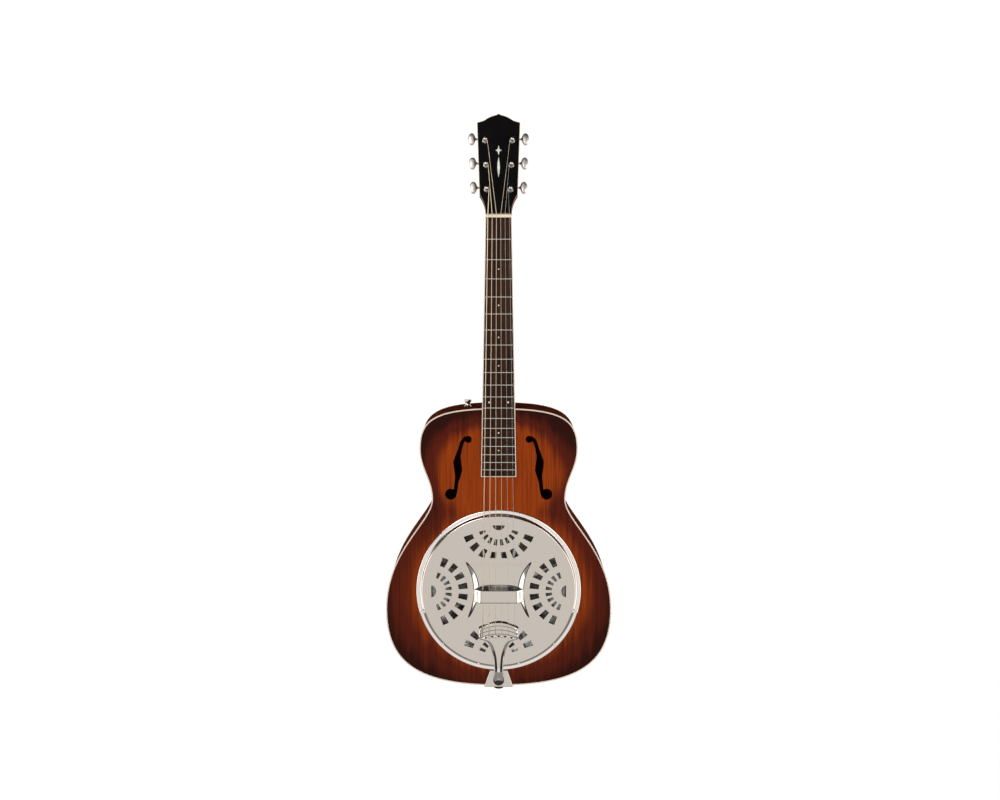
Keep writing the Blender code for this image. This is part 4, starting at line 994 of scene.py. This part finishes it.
def post_places():
    """Posts in string order: up the bass side, then down the treble side."""
    bass = [(-(head_half(z) - POST_EDGE_DISTANCE), z) for z in POST_STATIONS]
    return bass + [(-x, z) for x, z in reversed(bass)]


def post_holes():
    return [circle(POST_HOLE_RADIUS, x, z, 32) for x, z in post_places()]


class GUITAR_OT_neck(bpy.types.Operator):
    """Makes the neck with its heel and headstock, the nut and the truss rod"""
    bl_idname = "guitar.neck"
    bl_label = "Neck"

    def execute(self, context):
        heel_run = -NECK_HEEL_START - BODY_TOP_Z
        heel_start_depth = NECK_DEPTH * 1.2
        stations = [(HEAD_START - 0.0005, NECK_DEPTH), (0, NECK_DEPTH)]
        for i in range(1, 37):
            share = i / 36
            stations.append((-NECK_HEEL_START * share, NECK_DEPTH * (1 + 0.2 * share)))
        for i in range(1, 17):
            share = i / 16
            depth = heel_start_depth + (NECK_HEEL_DEPTH - heel_start_depth) * share ** 1.6
            stations.append((-NECK_HEEL_START - heel_run * share, depth))
        rings = []
        turns = [pi * i / 32 for i in range(33)]
        for z, depth in stations:
            half = board_half(max(0, -z))
            roundness = smooth_step(-z / NECK_BLEND)
            fullness = NECK_SQUARE + (NECK_FULLNESS - NECK_SQUARE) * roundness
            rings.append([(half * cos(a), depth * sin(a) ** fullness if 0 < a < pi else 0, z)
                          for a in turns])
        bm = lofted(rings)
        plank = plate([head_outline(-HEAD_START)] + post_holes(), VENEER_THICKNESS + GAP, HEAD_BACK)
        joined(bm, plank, HEAD_FRAME)
        finished("carved_neck", bm, "mahogany_dark", ["neck"], sharp=40)
        carried("nut", "bone", bevel=0.0006)
        carried("truss_rod", "steel", bevel=0.0003)
        return {"FINISHED"}


class GUITAR_OT_headstock_face(bpy.types.Operator):
    """Makes the headstock's black face, its pale edge line and its pearl inlay"""
    bl_idname = "guitar.headstock_face"
    bl_label = "Headstock face"

    def execute(self, context):
        look = context.scene.guitar_neck
        rim, face_edge = head_outline(GAP), head_outline(GAP, look.edge_line)
        face = placed(plate([face_edge] + post_holes(), 0, VENEER_THICKNESS), HEAD_FRAME)
        finished("headstock_face", face, "black_lacquer", ["headstock_veneer"])
        line = placed(plate([rim, face_edge], 0.0001, VENEER_THICKNESS, ring=True), HEAD_FRAME)
        finished("headstock_edge_line", line, "tan_wood")
        inlay = bmesh.new()
        half = look.inlay_length / 2
        star_middle = INLAY_MIDDLE + half * 0.62
        star = []
        for i in range(8):
            reach = (half * 0.30 if i % 4 == 0 else half * 0.24) if i % 2 == 0 else half * 0.10
            star.append((reach * sin(pi * i / 4) * 0.75, star_middle + reach * cos(pi * i / 4)))
        leaf_top = INLAY_MIDDLE + half * 0.24
        leaf = [(0.0022 * sin(pi * i / 12), leaf_top - half * 1.2 * i / 12) for i in range(13)]
        leaf += [(-x, z) for x, z in reversed(leaf[1:-1])]
        for shape in (star, leaf):
            joined(inlay, plate([shape], -0.00012, 0.0004), HEAD_FRAME)
        finished("headstock_inlay", inlay, "pearl")
        return {"FINISHED"}


class GUITAR_OT_fretboard(bpy.types.Operator):
    """Makes the fretboard with its fret wires, position dots and edge strip"""
    bl_idname = "guitar.fretboard"
    bl_label = "Fretboard"

    def execute(self, context):
        look = context.scene.guitar_neck
        end = BOARD_LENGTH - BOARD_BINDING - GAP

        def top(u, v):
            s = GAP + (end - GAP) * v
            half = board_half(s) - BOARD_BINDING - GAP / 3
            return Vector((half * u, -BOARD_SURFACE + 0.0003 * u * u, -s))
        board = bent_grid(16, 60, top)
        finished("cambered_fretboard", board, "rosewood", ["fretboard"], wall=BOARD_SURFACE - GAP)
        wires = bmesh.new()
        for number in range(1, FRET_COUNT + 1):
            s = fret_place(number)
            half = board_half(s) - BOARD_BINDING * 0.4
            wire = bmesh.new()
            bmesh.ops.create_cone(wire, cap_ends=True, segments=16, radius1=look.fret_radius,
                                  radius2=look.fret_radius, depth=2 * half)
            turn = Matrix.Translation((0, -BOARD_SURFACE + 0.0001, -s)) @ Matrix.Rotation(pi / 2, 4, "Y")
            joined(wires, wire, turn)
        finished("fret_wires", wires, "fret_wire", bevel=0.0003)
        profile = [(look.dot_radius * share, height) for share, height in DOT_DISC]
        spots = []
        for fret, offset in POSITION_DOTS:
            s = (fret_place(fret - 1) + fret_place(fret)) / 2
            spots.append(Matrix.Translation((offset, -BOARD_SURFACE + 0.0001, -s)))
        turned_row("position_dots", profile, 28, "pearl", spots)
        carried("fretboard_binding", "cream_binding", bevel=0.0004)
        return {"FINISHED"}


def button_shape(look, side):
    """An oval button along local X from its neck at x = 0."""
    rings = []
    turns = [2 * pi * i / 40 for i in range(40)]
    for swell, share in TUNER_BUTTON:
        thick = look.button_depth / 2 * max(min(swell, 0.9) ** 0.5, 0.3)
        tall = look.button_height / 2 * swell
        x = side * look.button_length * share
        rings.append([(x, thick * abs(cos(a)) ** 0.45 * (1 if cos(a) > 0 else -1), tall * sin(a))
                      for a in turns])
    return lofted(rings)


class GUITAR_OT_tuners(bpy.types.Operator):
    """Makes the six tuning machines with their posts, gears, worms, buttons and ferrules"""
    bl_idname = "guitar.tuners"
    bl_label = "Tuning machines"

    def execute(self, context):
        look = context.scene.guitar_tuners
        posts = post_places()
        for number, (x, z) in enumerate(posts, 1):
            side = -1 if x < 0 else 1
            worm, post = f"tuner_{number}_worm", f"tuner_{number}_post"
            carried(f"tuner_plate_{number}", "nickel", bevel=0.0003)
            carried(f"tuner_gear_{number}", "nickel", post, bevel=0.0001)
            carried(f"string_post_{number}", "nickel", post)
            carried(f"worm_shaft_{number}", "nickel", worm, sharp=50)
            reach = head_half(z) - abs(x) + BUTTON_STANDOFF
            place = HEAD_FRAME @ Matrix.Translation((x + side * reach, GEAR_MIDDLE, z + WORM_RISE))
            button = placed(button_shape(look, side), place)
            finished(f"oval_button_{number}", button, "satin_nickel", [f"tuner_button_{number}"], worm,
                     sharp=60)
        bore = [(FERRULE_BORE, 0.0), (FERRULE_BORE, 0.0016)]
        rounded = [(look.ferrule_radius * share, height) for share, height in FERRULE_ROUND]
        ferrule_spots = [HEAD_FRAME @ Matrix.Translation((x, 0, z)) for x, z in posts]
        turned_row("post_ferrules", bore[1:] + rounded + bore, 40, "nickel", ferrule_spots)
        behind = Matrix.Rotation(radians(-90), 4, "X")
        screw_spots = [HEAD_FRAME @ Matrix.Translation((x, PLATE_BACK, z + along))
                       for x, z in posts for along in MACHINE_SCREW_PLACES]
        turned_row("machine_screws", MACHINE_SCREW, 16, "nickel", screw_spots, behind)
        return {"FINISHED"}


class GUITAR_OT_strings(bpy.types.Operator):
    """Gives the four wound and two plain strings their wire finishes"""
    bl_idname = "guitar.strings"
    bl_label = "Strings"

    def execute(self, context):
        for number in range(1, STRING_COUNT + 1):
            carried(f"string_{number}", "wound_bronze" if number < 5 else "plain_steel", sharp=70)
        return {"FINISHED"}


def studio_panels(aside):
    """The room's brightness by how far a direction points aside: a panel, dark gaps, bright walls."""
    return (1 - fade(aside, 0.30, 0.42)) * 0.39 + fade(aside, 0.64, 0.74) + 0.02


class GUITAR_OT_stage(bpy.types.Operator):
    """Sets the pale floor and backdrop, which glow and carry a painted shade under and before the guitar,
    the soft studio lights and the camera
    """
    bl_idname = "guitar.stage"
    bl_label = "Studio stage"

    def execute(self, context):
        look = context.scene.guitar_stage
        floor_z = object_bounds()[0].z - HANGING_HEIGHT
        pale, shader, place = new_material("glowing_stage")
        # Painted glow of the floor, dimmed to a painted shade under and before the guitar for the chrome
        # to reflect
        glow_with_front_shade = mixed(fade(part_of(place, 1), 0.6, 2.2), [1 - look.front_shade] * 3, (1, 1, 1))
        feed(shader, {"Base Color": (0.10, 0.10, 0.10, 1), "Roughness": 1.0, "Specular IOR Level": 0.0,
                      "Emission Color": glow_with_front_shade, "Emission Strength": look.floor_glow})
        bm = bmesh.new()
        front, middle, wall, top = -2.0, 1.5, 6, 6
        narrow, wide = 2.6, 9
        panels = (((front, floor_z), (middle, floor_z), narrow),
                  ((middle, floor_z), (wall, floor_z), wide), ((wall, floor_z), (wall, top), wide))
        for near, far, half in panels:
            side = bm.edges.new([bm.verts.new((-half, *end)) for end in (near, far)])
            swept = bmesh.ops.extrude_edge_only(bm, edges=[side])
            moved = [v for v in swept["geom"] if isinstance(v, bmesh.types.BMVert)]
            bmesh.ops.translate(bm, vec=(2 * half, 0, 0), verts=moved)
        mesh = meshed("studio_floor", bm)
        mesh.materials.append(pale)
        floor = put("studio_floor", mesh)
        floor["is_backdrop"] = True
        self.light(context)
        view = bpy.data.cameras.new("photo_view")
        view.lens = look.lens
        view.sensor_width = 36
        view.sensor_fit = "HORIZONTAL"
        camera = put("photo_view", view)
        camera.location = CAMERA_PLACE
        camera.rotation_euler = (CAMERA_TILT, 0, 0)
        context.scene.camera = camera
        context.scene.view_settings.view_transform = "Standard"
        return {"FINISHED"}

    def light(self, context):
        look = context.scene.guitar_stage
        places = (("key_light", (-1.3, -2.4, 1.2), 1.6, look.key_power),
                  ("fill_light", (1.6, -2.2, 0.4), 1.4, look.fill_power))
        target = Vector((0, 0, -0.45))
        for name, spot, size, power in places:
            lamp = bpy.data.lights.new(name, "AREA")
            lamp.size = size
            lamp.energy = power
            thing = put(name, lamp)
            thing.location = spot
            thing.rotation_euler = (target - Vector(spot)).to_track_quat("-Z", "Y").to_euler()
            thing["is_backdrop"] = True
        world = bpy.data.worlds.new("studio_room")
        world.use_nodes = True
        tree = world.node_tree
        room = Shade(tree.nodes.new("ShaderNodeTexCoord").outputs["Generated"])
        aside = part_of(room, 0).maths("ABSOLUTE", part_of(room, 0))
        below_ceiling = 1 - fade(part_of(room, 2), 0.15, 0.40) * 0.92
        colour = mixed(studio_panels(aside) * below_ceiling, (0, 0, 0), (1.0, 0.985, 0.96))
        feed(tree.nodes["Background"], {"Color": colour, "Strength": ROOM_STRENGTH})
        context.scene.world = world


OPERATORS = (GUITAR_OT_top, GUITAR_OT_shell, GUITAR_OT_resonator, GUITAR_OT_coverplate,
             GUITAR_OT_hand_rest, GUITAR_OT_tailpiece, GUITAR_OT_neck, GUITAR_OT_headstock_face,
             GUITAR_OT_fretboard, GUITAR_OT_tuners, GUITAR_OT_strings, GUITAR_OT_stage)
LOOKS = {"guitar_body": BodyLook, "guitar_plate": PlateLook, "guitar_neck": NeckLook,
         "guitar_tuners": TunerLook, "guitar_stage": StageLook}


class GUITAR_PT_panel(bpy.types.Panel):
    bl_idname = "GUITAR_PT_panel"
    bl_label = "Resonator guitar"
    bl_space_type = "VIEW_3D"
    bl_region_type = "UI"
    bl_category = "Guitar"

    def draw(self, context):
        for name, look in LOOKS.items():
            group = getattr(context.scene, name)
            for setting in look.__annotations__:
                self.layout.prop(group, setting)
        for operator in OPERATORS:
            self.layout.operator(operator.bl_idname)


def register():
    for look in LOOKS.values():
        bpy.utils.register_class(look)
    for name, look in LOOKS.items():
        setattr(bpy.types.Scene, name, PointerProperty(type=look))
    for made in (*OPERATORS, GUITAR_PT_panel):
        bpy.utils.register_class(made)


def unregister():
    for made in (GUITAR_PT_panel, *reversed(OPERATORS)):
        bpy.utils.unregister_class(made)
    for name in LOOKS:
        delattr(bpy.types.Scene, name)
    for look in LOOKS.values():
        bpy.utils.unregister_class(look)


def main():
    register()
    for operator in OPERATORS:
        getattr(bpy.ops.guitar, operator.bl_idname.split(".")[1])()
    bpy.context.view_layer.update()


if __name__ == "__main__":
    main()
